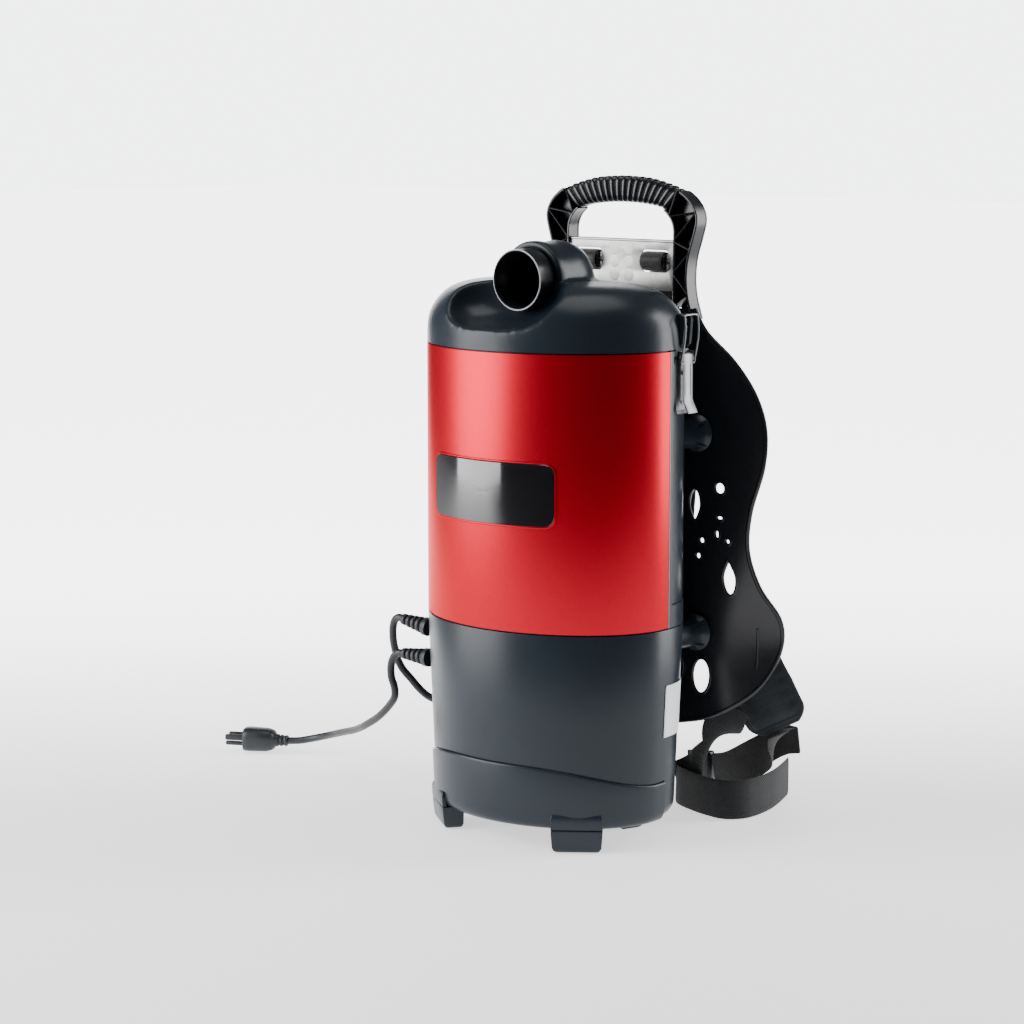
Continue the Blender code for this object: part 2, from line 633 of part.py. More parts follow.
# ---------------------------------------------------------------- latches
def latch(side, hand):
    """A draw latch: base plate with ears, pin, lever and a wire bail that holds the lid down."""
    floor_x = side_x(LATCH_Y) - 0.0022 + GAP
    pivot = Vector((side * LATCH_PIVOT_X, LATCH_Y, LATCH_PIVOT_Z))

    def span(x0, x1, y0, y1, z0, z1, name, mat=None, cutter=False, at=(0.0, 0.0, 0.0)):
        low, high = sorted((side * x0, side * x1))
        shift = Vector(at)
        return box(name, Vector((low, y0, z0)) - shift, Vector((high, y1, z1)) - shift, mat, cutter, at)
    base = span(floor_x, floor_x + 0.0014, LATCH_Y - 0.009, LATCH_Y + 0.009, 0.402, 0.456,
                f"latch_base_{hand}", STEEL)
    for y in (LATCH_Y - 0.0083, LATCH_Y + 0.0083):
        ear = span(floor_x + 0.0006, 0.132, y - 0.0007, y + 0.0007, 0.4482, 0.456, f"ear_{hand}_{y:.3f}",
                   cutter=True)
        boolean(base, ear, "UNION")
    turn = (math.pi / 2, 0.0, 0.0)
    half = 0.0070
    pin = turned(f"latch_pin_room_{hand}", [(0.0, half + 0.0008), (0.0014, half + 0.0008),
                                            (0.0014, -half - 0.0008), (0.0, -half - 0.0008)],
                 None, pivot, turn, steps=12, cutter=True)
    boolean(base, pin, "UNION")
    lever = turned(f"latch_lever_{hand}", [(0.0030, half), (0.0030, -half), (0.0017, -half), (0.0017, half)],
                   STEEL, pivot, turn, steps=16, closed=True)
    route = [(0.1314, 0.4505), (0.1316, 0.440), (0.1316, 0.424), (0.1318, 0.412), (0.1346, 0.4065),
             (0.1378, 0.4000)]
    rings = []
    for i, (x, z) in enumerate(route):
        ahead, behind = route[min(i + 1, len(route) - 1)], route[max(i - 1, 0)]
        run = Vector((ahead[0] - behind[0], ahead[1] - behind[1])).normalized()
        out = Vector((-run.y, run.x)) * STRIP_HALF
        rings.append([(side * (x + s * out.x) - pivot.x, y, z + s * out.y - pivot.z)
                      for s, y in ((1, half), (1, -half), (-1, -half), (-1, half))])
    boolean(lever, loft(f"lever_strip_{hand}", rings, None, pivot, cutter=True), "UNION")
    foot = Vector((side * BAIL_FOOT[0], LATCH_Y, BAIL_FOOT[1]))
    arm = 0.0100
    leg = [(BAIL_FOOT[0], half + GAP, BAIL_FOOT[1]), (BAIL_FOOT[0], arm - 0.0008, BAIL_FOOT[1]),
           (BAIL_FOOT[0] + 0.0003, arm, BAIL_FOOT[1] + 0.0012), (0.1338, arm, 0.4570), (0.1356, arm, 0.4680),
           (0.1358, arm, 0.4780), (BAIL_TOP[0] + 0.0004, arm, BAIL_TOP[1] - 0.0020),
           (BAIL_TOP[0], arm - 0.0016, BAIL_TOP[1])]
    points = [(side * x, LATCH_Y + y, z) for x, y, z in leg]
    points += [(side * x, LATCH_Y - y, z) for x, y, z in leg[::-1]]
    wire(f"latch_bail_{hand}", points, WIRE_R, STEEL, resolution=1, at=foot)


# ---------------------------------------------------------------- harness plate and bracket
def wing_y(x, z):
    """Front face of the plate: flat in the middle, its wings swept back round the wearer."""
    hip = math.exp(-((z - 0.175) / 0.075) ** 2)
    reach = max(0.0, abs(x) - 0.055)
    return PLATE_Y + (0.9 + 1.9 * hip) * reach ** 2


# Height and half-width of the plate, from its lower edge to the foot of the handle.
PLATE_EDGE = ((0.090, 0.060), (0.103, 0.110), (0.130, 0.149), (0.165, 0.165), (0.196, 0.166),
              (0.228, 0.151), (0.265, 0.143), (0.300, 0.147), (0.345, 0.160), (0.380, 0.161),
              (0.410, 0.151), (0.440, 0.129), (0.468, 0.098), (0.488, 0.086))


def plate_shell():
    """The plate below the handle, as a grid over its half-width at each height."""
    edge = smooth_path([(w, 0.0, z) for z, w in PLATE_EDGE], 24)
    columns = 12
    bm = bmesh.new()
    rows = []
    for point in edge:
        half, z = point.x, point.z
        row = []
        for i in range(columns + 1):
            x = half * math.sin(math.pi * (i / columns - 0.5))
            row.append(bm.verts.new((x, wing_y(x, z), z)))
        rows.append(row)
    for low, high in zip(rows, rows[1:]):
        for i in range(columns):
            bm.faces.new((low[i], low[i + 1], high[i + 1], high[i]))
    mesh = bpy.data.meshes.new("harness_plate")
    bm.to_mesh(mesh)
    bm.free()
    plate = add("harness_plate", mesh, BLACK)
    solid = plate.modifiers.new("thickness", "SOLIDIFY")
    solid.thickness = PLATE_THICK
    solid.offset = -1.0
    return plate


def arc(centre, radii, start, stop, steps):
    """Points on an ellipse arc in the XZ plane, angles in degrees."""
    points = []
    for i in range(steps + 1):
        t = math.radians(start + (stop - start) * i / steps)
        points.append((centre[0] + radii[0] * math.cos(t), centre[1] + radii[1] * math.sin(t)))
    return points


def handle_loops():
    """Outer and inner outline of the carrying handle, seen from the front."""
    right = [(0.0865, 0.478), (0.0800, 0.500), (0.0785, 0.518), (0.0805, 0.535), (0.0860, 0.553)]
    right += arc((0.030, 0.570), (0.060, 0.036), 0, 65, 7)
    outer = right + [(0.0, HANDLE_TOP)] + [(-x, z) for x, z in right[::-1]]
    inner_right = [(GRIP_HALF, 0.500), (GRIP_HALF, 0.556)] + arc((0.036, 0.558), (0.026, 0.024), 15, 75, 4)
    inner = inner_right + [(0.0, 0.585)] + [(-x, z) for x, z in inner_right[::-1]]
    return outer, inner


def drop(centre, width, height, tip):
    """A drop-shaped or oval hole; tip is +1 for a pointed top, -1 for a pointed foot, 0 for an oval."""
    points = []
    for i in range(10):
        t = math.tau * (i + 0.5) / 10
        squeeze = 1.0 - 0.55 * max(0.0, tip * math.sin(t))
        points.append((centre[0] + width / 2 * math.cos(t) * squeeze, centre[1] + height / 2 * math.sin(t)))
    return points


# Centre x, centre z, width, height and tip of each hole in the plate's right half.
PLATE_HOLES = ((0.0890, 0.303, 0.013, 0.032, -1), (0.1160, 0.321, 0.011, 0.012, 0),
               (0.1160, 0.293, 0.007, 0.005, 0), (0.1130, 0.277, 0.005, 0.009, 0),
               (0.1240, 0.271, 0.005, 0.006, 0), (0.0970, 0.270, 0.006, 0.007, 0),
               (0.0930, 0.255, 0.006, 0.007, 0), (0.1240, 0.236, 0.013, 0.034, 1),
               (0.0960, 0.139, 0.018, 0.034, 0), (0.0720, 0.146, 0.013, 0.026, 0))


def harness_plate():
    plate = plate_shell()
    outer, inner = handle_loops()
    ring = flat_outline("handle_ring", [outer, inner], HANDLE_DEPTH, cutter=True)
    ring.location = (0.0, PLATE_Y, 0.0)
    boolean(plate, ring, "UNION")
    for i, (x, z, width, height, tip) in enumerate(PLATE_HOLES):
        for side in (-1, 1):
            hole = flat_outline(f"plate_hole_{i}_{side}", [drop((side * x, z), width, height, tip)], 0.08,
                                cutter=True)
            hole.location = (0.0, PLATE_Y - 0.02, 0.0)
            boolean(plate, hole)
    return plate


def steel_bracket():
    low, high, half = 0.503, 0.551, GRIP_HALF - GAP
    x0, x1, z0, z1 = SLOT
    loops = [[(-half, low), (half, low), (half, high), (-half, high)]]
    for side in (-1, 1):
        loops.append([(side * x0, z0), (side * x1, z0), (side * x1, z1), (side * x0, z1)])
    plate = flat_outline("steel_bracket", loops, BRACKET_THICK, mat=STEEL)
    plate.location = (0.0, PLATE_Y + 0.003, 0.0)
    half = (x1 - x0) / 2 + 0.0015
    for side in (-1, 1):
        centre = (side * (x0 + x1) / 2, PLATE_Y + 0.003 + BRACKET_THICK / 2, (z0 + z1) / 2)
        pin = turned(f"roller_pin_{side}", [(0.0, half), (0.0020, half), (0.0020, -half), (0.0, -half)],
                     None, centre, (0.0, math.pi / 2, 0.0), steps=16, cutter=True)
        boolean(plate, pin, "UNION")
    return plate


def roller(side, hand):
    """A strap roller on the pin across one slot of the steel bracket."""
    x0, x1, z0, z1 = SLOT
    centre = (side * (x0 + x1) / 2, PLATE_Y + 0.003 + BRACKET_THICK / 2, (z0 + z1) / 2)
    half = (x1 - x0) / 2
    turn = (0.0, math.pi / 2, 0.0)
    turned(f"strap_roller_{hand}", [(ROLLER_R, half - 0.0015), (ROLLER_R, -half + 0.0015),
                                    (0.0024, -half + 0.0015), (0.0024, half - 0.0015)],
           BLACK, centre, turn, steps=24, closed=True)


# ---------------------------------------------------------------- straps, pads and belts
def shoulder_set(side, hand):
    """A strap loop round its roller, a padded strap hanging down the plate, and its lower webbing."""
    x = side * (SLOT[0] + SLOT[1]) / 2
    y0, z0 = PLATE_Y + 0.003 + BRACKET_THICK / 2, (SLOT[2] + SLOT[3]) / 2
    radius = ROLLER_R + WEBBING_THICK / 2 + 0.0003
    round_roller = []
    for i in range(11):
        t = math.radians(20 + 280 * i / 10)
        round_roller.append((x, y0 + radius * math.cos(t), z0 + radius * math.sin(t)))
    route = [(x, 0.1258, 0.4745), (x, 0.1262, 0.5000), (x, 0.1225, 0.5240)] + round_roller
    route += [(x, 0.1135, 0.5190), (x, 0.1175, 0.5120)]
    across = (1.0, 0.0, 0.0)
    strap(f"shoulder_loop_{hand}", route, [across] * 2, [LOOP_WEBBING] * 2, WEBBING_THICK, FABRIC, count=28)
    pad_route = [(x, 0.1262, 0.4730), (x, 0.1268, 0.445), (x * 1.02, 0.1275, 0.400),
                 (x * 1.05, 0.1280, 0.320), (x * 1.10, 0.1270, 0.255), (x * 1.18, 0.1240, 0.215)]
    strap(f"shoulder_pad_{hand}", pad_route, [across] * 2, [0.030, 0.060, 0.064, 0.062, 0.052, 0.030],
          PAD_THICK, FABRIC, count=20, rounded=PAD_ROUND)
    web_route = [(x * 1.18, 0.1235, 0.2135), (x * 1.28, 0.1210, 0.190), (x * 1.42, 0.1170, 0.150),
                 (x * 1.55, 0.1125, 0.112)]
    strap(f"shoulder_webbing_{hand}", web_route, [across] * 2, [LOOP_WEBBING] * 2, WEBBING_THICK, FABRIC,
          count=12)


def adjuster(side, hand):
    """A strap adjuster: a small frame clipped on the shoulder strap's lower webbing."""
    x, z = side * 0.0530, 0.172
    loops = [[(x - 0.016, z - 0.012), (x + 0.016, z - 0.012), (x + 0.016, z + 0.012), (x - 0.016, z + 0.012)]]
    loops.append([(x - 0.0125, z + 0.002), (x + 0.0125, z + 0.002), (x + 0.0125, z + 0.008),
                  (x - 0.0125, z + 0.008)])
    frame = flat_outline(f"strap_adjuster_{hand}", loops, 0.003, mat=BLACK)
    frame.location = (0.0, 0.1225, 0.0)
    return frame


def mirrored(points, side):
    return [(side * x, y, z) for x, y, z in points]


def belt_set(side, hand):
    """One half of the hip belt: pad, webbing to the buckle, free tail and the plate's own strap."""
    up = (0.0, 0.0, 1.0)
    pad = [(0.156, 0.1560, 0.088), (0.142, 0.1500, 0.115), (0.126, 0.1440, 0.150), (0.113, 0.1420, 0.200)]
    leaning = mirrored([(0.85, 0.0, 0.53), (0.88, 0.0, 0.47), (0.93, 0.0, 0.35)], side)
    strap(f"hip_pad_{hand}", mirrored(pad, side), leaning, [0.070, 0.074, 0.070, 0.060], PAD_THICK, FABRIC,
          count=18, rounded=PAD_ROUND)
    web = [(0.1545, 0.1590, 0.0825), (0.136, 0.1660, 0.064), (0.104, 0.1760, 0.044), (0.072, 0.1870, 0.027),
           (0.050, 0.1950, 0.0205)]
    strap(f"belt_webbing_{hand}", mirrored(web, side), mirrored([(0.70, 0.0, 0.70), up, up], side),
          [WEBBING] * 2, WEBBING_THICK, FABRIC, count=40)
    tail = [(0.050, 0.2075, 0.0205), (0.074, 0.2120, 0.030), (0.100, 0.2120, 0.050), (0.122, 0.2080, 0.062),
            (0.146, 0.2000, 0.067)]
    strap(f"belt_tail_{hand}", mirrored(tail, side), [up, up], [WEBBING * 0.8] * 2, WEBBING_THICK, FABRIC,
          count=18)
    lying = WEBBING / 2 + 0.0006    # height of the middle of a strap that stands on its edge
    loop = [(0.122, 0.1190, 0.112), (0.112, 0.1225, 0.092), (0.092, 0.1280, 0.066), (0.067, 0.1370, 0.040),
            (0.048, 0.1460, 0.0240), (0.043, 0.1420, lying + 0.0002), (0.052, 0.1330, lying),
            (0.072, 0.1240, lying), (0.096, 0.1170, lying), (0.118, 0.1160, lying), (0.131, 0.1290, lying),
            (0.134, 0.1480, lying), (0.130, 0.1800, lying), (0.121, 0.2090, lying), (0.112, 0.2330, lying)]
    across = [(0.75, 0.0, 0.55), (0.5, 0.0, 0.85), up, up, up, up]
    strap(f"plate_strap_{hand}", mirrored(loop, side), mirrored(across, side), [WEBBING] * 2, WEBBING_THICK,
          FABRIC, count=64)


def buckles():
    for side, name in ((1, "buckle_tongue"), (-1, "buckle_socket")):
        shell = box(name, (-0.015, -0.0055, -0.0195), (0.015, 0.0055, 0.0195), BLACK,
                    at=(side * 0.0285, 0.2010, 0.0205))
        bevel(shell, 0.003, 2)


# ---------------------------------------------------------------- cords, plug and switch
POWER_ROUTE = ((-0.1614, -0.0320, 0.1495), (-0.1660, -0.0320, 0.1490), (-0.1730, -0.0315, 0.1440),
               (-0.1775, -0.0305, 0.1345), (-0.1775, -0.0300, 0.1230), (-0.1745, -0.0290, 0.1135),
               (-0.1755, -0.0275, 0.1040), (-0.1865, -0.0233, 0.0925), (-0.2062, -0.0170, 0.0775),
               (-0.2340, -0.0050, 0.0630), (-0.2680, 0.0160, 0.0490), (-0.3080, 0.0380, 0.0360),
               (-0.3420, 0.0535, 0.0250), (-0.3650, 0.0550, 0.0180), (-0.3805, 0.0486, 0.0143),
               (-0.3911, 0.0432, 0.0135))
SWITCH_ROUTE = ((-0.1611, -0.0320, 0.1839), (-0.1652, -0.0320, 0.1843), (-0.1705, -0.0314, 0.1815),
                (-0.1752, -0.0296, 0.1735), (-0.1785, -0.0262, 0.1635), (-0.1815, -0.0215, 0.1540),
                (-0.1835, -0.0165, 0.1445), (-0.1845, -0.0120, 0.1355), (-0.1830, -0.0070, 0.1265),
                (-0.1775, -0.0010, 0.1165), (-0.1710, 0.0045, 0.1062), (-0.1680, 0.0160, 0.0965),
                (-0.1695, 0.0420, 0.0880), (-0.1750, 0.0760, 0.0850), (-0.1860, 0.1050, 0.0880),
                (-0.1930, 0.1240, 0.0960), (-0.1880, 0.1320, 0.1032), (-0.1810, 0.1328, 0.1040))


def relief(name, z, rise):
    """A strain relief: a flanged boss on the housing, a ribbed taper and the cord's exit."""
    length = RELIEF_BASE_X - RELIEF_TIP_X
    profile = [(0.0, 0.0), (0.0052, 0.0)]
    for i in range(4):
        ring_r = 0.0056 + 0.0022 * i / 3
        start = length * (0.04 + 0.195 * i)
        profile += [(ring_r, -start), (ring_r, -start - 0.0042), (ring_r - 0.0014, -start - 0.0044),
                    (ring_r - 0.0014, -start - 0.0068)]
    profile += [(0.0090, -length * 0.84), (0.0090, -length), (0.0, -length)]
    return turned(name, profile, RUBBER, (RELIEF_TIP_X, RELIEF_Y, z), (0.0, rise - math.pi / 2, 0.0),
                  steps=12)


def cords():
    wire("power_cord", smooth_path(POWER_ROUTE, 28), CORD_R, RUBBER)
    wire("switch_cord", smooth_path(SWITCH_ROUTE, 30), CORD_R, RUBBER)


def plug():
    """A three-pin plug: tapered tail, gripped body, two blades and a round earth pin."""
    turn = (0.0, 0.0, PLUG_ANGLE)
    levels = [(0.0, 0.0052, 0.0052), (0.013, 0.0070, 0.0064), (0.0155, 0.0098, 0.0098),
              (0.022, 0.0125, 0.0120), (0.040, 0.0132, 0.0126), (0.0470, 0.0122, 0.0118)]
    rings = []
    for x, half_y, half_z in levels:
        ring = []
        for i in range(16):
            t = math.tau * (i + 0.5) / 16
            c, s = math.cos(t), math.sin(t)
            ring.append((x, math.copysign(abs(c) ** 0.7, c) * half_y,
                         math.copysign(abs(s) ** 0.7, s) * half_z))
        rings.append(ring)
    body = loft("plug", rings, RUBBER, PLUG_TAIL, turn)
    for side in (-1, 1):
        y0, y1 = sorted((side * 0.0056, side * 0.0071))
        blade = box(f"plug_blade_{side}", (0.0450, y0, -0.0010), (0.0640, y1, 0.0054), cutter=True,
                    at=PLUG_TAIL)
        blade.rotation_euler = turn
        boolean(body, blade, "UNION")
    pin = [(0.0, 0.0655), (0.0016, 0.0655), (0.0024, 0.0635), (0.0024, 0.0450), (0.0, 0.0450)]
    earth = turned("plug_earth", pin, None, Vector(PLUG_TAIL) - Vector((0.0, 0.0, 0.0055)),
                   (0.0, math.pi / 2, PLUG_ANGLE), steps=12, cutter=True)
    boolean(body, earth, "UNION")


def switch():
    """The belt switch: a small housing clipped to the left hip pad, with a rocker in its face."""
    x, y, z = SWITCH_AT
    pod = box("switch_housing", (-0.019, -0.0085, -0.026), (0.019, 0.0080, 0.026), BLACK, at=SWITCH_AT)
    bevel(pod, 0.0035, 2)
    boolean(pod, box("rocker_room", (x - 0.0088, y - 0.02, z - 0.0128), (x + 0.0088, y - 0.0005, z + 0.0128),
                     cutter=True))
    axis_y = -0.0062
    profile = [(-0.0050, -0.0118), (-0.0022, 0.0), (-0.0036, 0.0118), (0.0016, 0.0112), (0.0048, 0.0030),
               (0.0048, -0.0030), (0.0016, -0.0112)]
    rings = [[(side, py, pz) for py, pz in profile] for side in (-0.0083, 0.0083)]
    loft("switch_rocker", rings, RED, (x, y + axis_y, z))


# ---------------------------------------------------------------- assembly
def build():
    motor_housing()
    base_cover()
    feet()
    motor()
    fan()
    tank()
    red_panel()
    badge()
    filter_bag()
    rating_label()
    lid()
    gasket()
    intake()
    harness_plate()
    steel_bracket()
    for side, hand in ((-1, "left"), (1, "right")):
        latch(side, hand)
        roller(side, hand)
        shoulder_set(side, hand)
        adjuster(side, hand)
        belt_set(side, hand)
    buckles()
    relief("power_strain_relief", RELIEF_LOW_Z, 0.0)
    relief("switch_strain_relief", RELIEF_HIGH_Z + 0.0045, math.radians(7))
    cords()
    plug()
    switch()


build()
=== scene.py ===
"""Looks of the backpack vacuum cleaner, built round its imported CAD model.

Metres, +Z up, the hose intake faces -Y. Pieces are modelled in the tank's own frame, whose upright
axis is the centre line of the tank; every object is then set back by BODY_Y into the row frame.
"""

import math

import bmesh
import bpy
from mathutils import Matrix, Vector, noise


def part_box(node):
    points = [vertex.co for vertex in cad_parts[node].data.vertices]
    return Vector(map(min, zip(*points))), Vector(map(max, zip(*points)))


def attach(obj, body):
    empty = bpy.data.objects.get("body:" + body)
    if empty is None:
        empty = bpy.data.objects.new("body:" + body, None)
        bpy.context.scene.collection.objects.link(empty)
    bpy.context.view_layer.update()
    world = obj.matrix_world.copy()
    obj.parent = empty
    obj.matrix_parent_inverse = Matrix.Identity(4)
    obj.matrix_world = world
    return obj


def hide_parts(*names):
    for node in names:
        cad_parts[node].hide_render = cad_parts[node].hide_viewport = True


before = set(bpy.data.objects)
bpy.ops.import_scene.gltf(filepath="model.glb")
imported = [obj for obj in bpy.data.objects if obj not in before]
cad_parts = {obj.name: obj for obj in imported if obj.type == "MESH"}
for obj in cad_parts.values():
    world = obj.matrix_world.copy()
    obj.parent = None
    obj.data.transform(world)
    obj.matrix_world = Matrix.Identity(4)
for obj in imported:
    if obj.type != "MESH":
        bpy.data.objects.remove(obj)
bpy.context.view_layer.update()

# ---------------------------------------------------------------- driving dimensions
FRONT_DEPTH = 0.1
BACK_DEPTH = 0.08
FRONT_EXP = 1.94
BACK_EXP = 2.7
TAPER = 0.34
WALL = 0.0035
GAP = 0.0003
PANEL_LOW, PANEL_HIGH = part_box("red_panel")
HALF_WIDTH = PANEL_HIGH.x
BODY_Y = PANEL_LOW.y + FRONT_DEPTH
SEAM_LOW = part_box("motor_housing")[1].z
SEAM_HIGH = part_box("lid")[0].z - GAP
PANEL_THICK = 0.0018
PANEL_BACK_Y = 0.007

INLET_Z = 0.519
INLET_R = 0.028
INLET_MOUTH_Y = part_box("inlet_tube")[0].y - BODY_Y
COLLAR_R = 0.033
COLLAR_FRONT_Y = -0.031

COVER_TOP = 0.08
COVER_BACK_Y = 0.012
LATCH_Y = 0.031
PIVOT_X, PIVOT_Z = 0.129, 0.452
PLATE_Y = 0.101
PLATE_THICK = 0.0035
HANDLE_DEPTH = 0.016
HANDLE_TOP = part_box("harness_plate")[1].z
GRIP_HALF = 0.062
STANDOFF_X = 0.092
STANDOFF_Z = (0.182, 0.372)
SLOT = (0.024, 0.055, 0.52, 0.541)
ROLLER_R = 0.0075
CORD_R = 0.00375
WEBBING = 0.038
WEBBING_THICK = 0.0016
RELIEF_Y = -0.032
RELIEF_BASE_X, RELIEF_TIP_X = -0.1258, -0.16
PLUG_TAIL = (-0.3915, 0.043, 0.0135)
PLUG_ANGLE = math.radians(207.0)
SWITCH_AT = (-0.161, 0.1328, 0.104)
SIDES = ((-1, "left"), (1, "right"))


# ---------------------------------------------------------------- materials
def shader_of(name, color, roughness, metallic=0.0, specular=0.5):
    made = bpy.data.materials.new(name)
    made.use_nodes = True
    shader = made.node_tree.nodes["Principled BSDF"]
    shader.inputs["Base Color"].default_value = (*color, 1.0)
    shader.inputs["Roughness"].default_value = roughness
    shader.inputs["Metallic"].default_value = metallic
    shader.inputs["Specular IOR Level"].default_value = specular
    return made, made.node_tree.nodes, made.node_tree.links, shader


def mixed_color(nodes, links, shader, factor, dark, light):
    ramp = nodes.new("ShaderNodeValToRGB")
    ramp.color_ramp.elements[0].color = (*dark, 1.0)
    ramp.color_ramp.elements[1].color = (*light, 1.0)
    links.new(factor, ramp.inputs["Fac"])
    links.new(ramp.outputs["Color"], shader.inputs["Base Color"])
    return ramp


def ranged(nodes, links, factor, low, high, target):
    mapped = nodes.new("ShaderNodeMapRange")
    mapped.inputs["To Min"].default_value = low
    mapped.inputs["To Max"].default_value = high
    links.new(factor, mapped.inputs["Value"])
    links.new(mapped.outputs["Result"], target)


def noise_of(nodes, links, scale, detail=3.0, coordinate="Object", stretch=None):
    coords = nodes.new("ShaderNodeTexCoord")
    texture = nodes.new("ShaderNodeTexNoise")
    texture.inputs["Scale"].default_value = scale
    texture.inputs["Detail"].default_value = detail
    source = coords.outputs[coordinate]
    if stretch is not None:
        mapping = nodes.new("ShaderNodeMapping")
        mapping.inputs["Scale"].default_value = stretch
        links.new(source, mapping.inputs["Vector"])
        source = mapping.outputs["Vector"]
    links.new(source, texture.inputs["Vector"])
    return texture.outputs["Fac"]


def bump(nodes, links, shader, height, strength, distance, before=None):
    made = nodes.new("ShaderNodeBump")
    made.inputs["Strength"].default_value = strength
    made.inputs["Distance"].default_value = distance
    links.new(height, made.inputs["Height"])
    if before is not None:
        links.new(before.outputs["Normal"], made.inputs["Normal"])
    links.new(made.outputs["Normal"], shader.inputs["Normal"])
    return made


def plastic(name, dark, light, rough_low, rough_high, grain, depth, specular=0.5, coat=0.0):
    """Moulded plastic: cloudy tone, uneven gloss and a fine moulded grain."""
    made, nodes, links, shader = shader_of(name, light, rough_low, specular=specular)
    cloud = noise_of(nodes, links, 14.0)
    mixed_color(nodes, links, shader, cloud, dark, light)
    ranged(nodes, links, noise_of(nodes, links, 55.0, 5.0), rough_low, rough_high, shader.inputs["Roughness"])
    soft = bump(nodes, links, shader, noise_of(nodes, links, 90.0), 0.05, 0.0004)
    bump(nodes, links, shader, noise_of(nodes, links, grain, 2.0), 0.35, depth, soft)
    if coat:
        shader.inputs["Coat Weight"].default_value = coat
        shader.inputs["Coat Roughness"].default_value = 0.12
    return made


def red_metallic():
    """Metallic red film: flakes of slightly different red under a clear coat."""
    made, nodes, links, shader = shader_of("red_metallic", (0.45, 0.004, 0.018), 0.3, metallic=0.8)
    coords = nodes.new("ShaderNodeTexCoord")
    flakes = nodes.new("ShaderNodeTexVoronoi")
    flakes.inputs["Scale"].default_value = 2600.0
    links.new(coords.outputs["Object"], flakes.inputs["Vector"])
    split = nodes.new("ShaderNodeSeparateColor")
    links.new(flakes.outputs["Color"], split.inputs["Color"])
    mixed_color(nodes, links, shader, split.outputs["Red"], (0.42, 0.003, 0.016), (0.5, 0.006, 0.022))
    ranged(nodes, links, split.outputs["Green"], 0.34, 0.4, shader.inputs["Roughness"])
    bump(nodes, links, shader, noise_of(nodes, links, 40.0), 0.04, 0.0006)
    shader.inputs["Specular Tint"].default_value = (1.0, 0.1, 0.15, 1.0)
    shader.inputs["Coat Weight"].default_value = 0.06
    shader.inputs["Coat Roughness"].default_value = 0.22
    return made


def metal(name, dark, light, rough_low, rough_high, scale, stretch=None, spangle=0.0):
    """Bare or plated sheet: brushed or spangled, with uneven gloss."""
    made, nodes, links, shader = shader_of(name, light, rough_low, metallic=1.0)
    if spangle:
        coords = nodes.new("ShaderNodeTexCoord")
        cells = nodes.new("ShaderNodeTexVoronoi")
        cells.inputs["Scale"].default_value = spangle
        links.new(coords.outputs["Object"], cells.inputs["Vector"])
        split = nodes.new("ShaderNodeSeparateColor")
        links.new(cells.outputs["Color"], split.inputs["Color"])
        factor = split.outputs["Red"]
    else:
        factor = noise_of(nodes, links, scale, 4.0, stretch=stretch)
    mixed_color(nodes, links, shader, factor, dark, light)
    streaks = noise_of(nodes, links, scale, 4.0, stretch=stretch)
    ranged(nodes, links, streaks, rough_low, rough_high, shader.inputs["Roughness"])
    bump(nodes, links, shader, streaks, 0.12, 0.0002)
    return made


def weave(name, dark, light, pitch, slant=1.0, gloss=0.72):
    """Webbing, from the strap's own UV in metres: rows of slanted ribs across a fine thread."""
    made, nodes, links, shader = shader_of(name, light, gloss, specular=0.35)
    coords = nodes.new("ShaderNodeTexCoord")
    heights = []
    for turn in (math.atan(slant), -math.atan(slant)):
        mapping = nodes.new("ShaderNodeMapping")
        mapping.inputs["Rotation"].default_value = (0.0, 0.0, turn)
        links.new(coords.outputs["UV"], mapping.inputs["Vector"])
        wave = nodes.new("ShaderNodeTexWave")
        wave.bands_direction = "X"
        wave.inputs["Scale"].default_value = 0.314 / pitch
        wave.inputs["Distortion"].default_value = 0.35
        wave.inputs["Detail"].default_value = 1.0
        wave.inputs["Detail Scale"].default_value = 3.0
        links.new(mapping.outputs["Vector"], wave.inputs["Vector"])
        heights.append(wave.outputs["Fac"])
    both = nodes.new("ShaderNodeMath")
    both.operation = "MULTIPLY"
    links.new(heights[0], both.inputs[0])
    links.new(heights[1], both.inputs[1])
    mixed_color(nodes, links, shader, both.outputs["Value"], dark, light)
    rough = noise_of(nodes, links, 300.0, 4.0)
    ranged(nodes, links, rough, gloss - 0.08, gloss + 0.1, shader.inputs["Roughness"])
    bump(nodes, links, shader, both.outputs["Value"], 0.8, 0.0006)
    shader.inputs["Sheen Weight"].default_value = 0.1
    shader.inputs["Sheen Roughness"].default_value = 0.45
    return made


def cloth(name, dark, light, cell, rough=0.85):
    """Knitted or felted cover that needs no UV: small cells with a fuzzy sheen."""
    made, nodes, links, shader = shader_of(name, light, rough, specular=0.25)
    coords = nodes.new("ShaderNodeTexCoord")
    cells = nodes.new("ShaderNodeTexVoronoi")
    cells.inputs["Scale"].default_value = 1.0 / cell
    cells.inputs["Randomness"].default_value = 0.45
    links.new(coords.outputs["Object"], cells.inputs["Vector"])
    mixed_color(nodes, links, shader, cells.outputs["Distance"], light, dark)
    soft = bump(nodes, links, shader, noise_of(nodes, links, 60.0), 0.25, 0.0012)
    bump(nodes, links, shader, cells.outputs["Distance"], 0.7, 0.0005, soft)
    ranged(nodes, links, noise_of(nodes, links, 35.0), rough - 0.08, rough + 0.08, shader.inputs["Roughness"])
    shader.inputs["Sheen Weight"].default_value = 0.12
    shader.inputs["Sheen Roughness"].default_value = 0.5
    return made


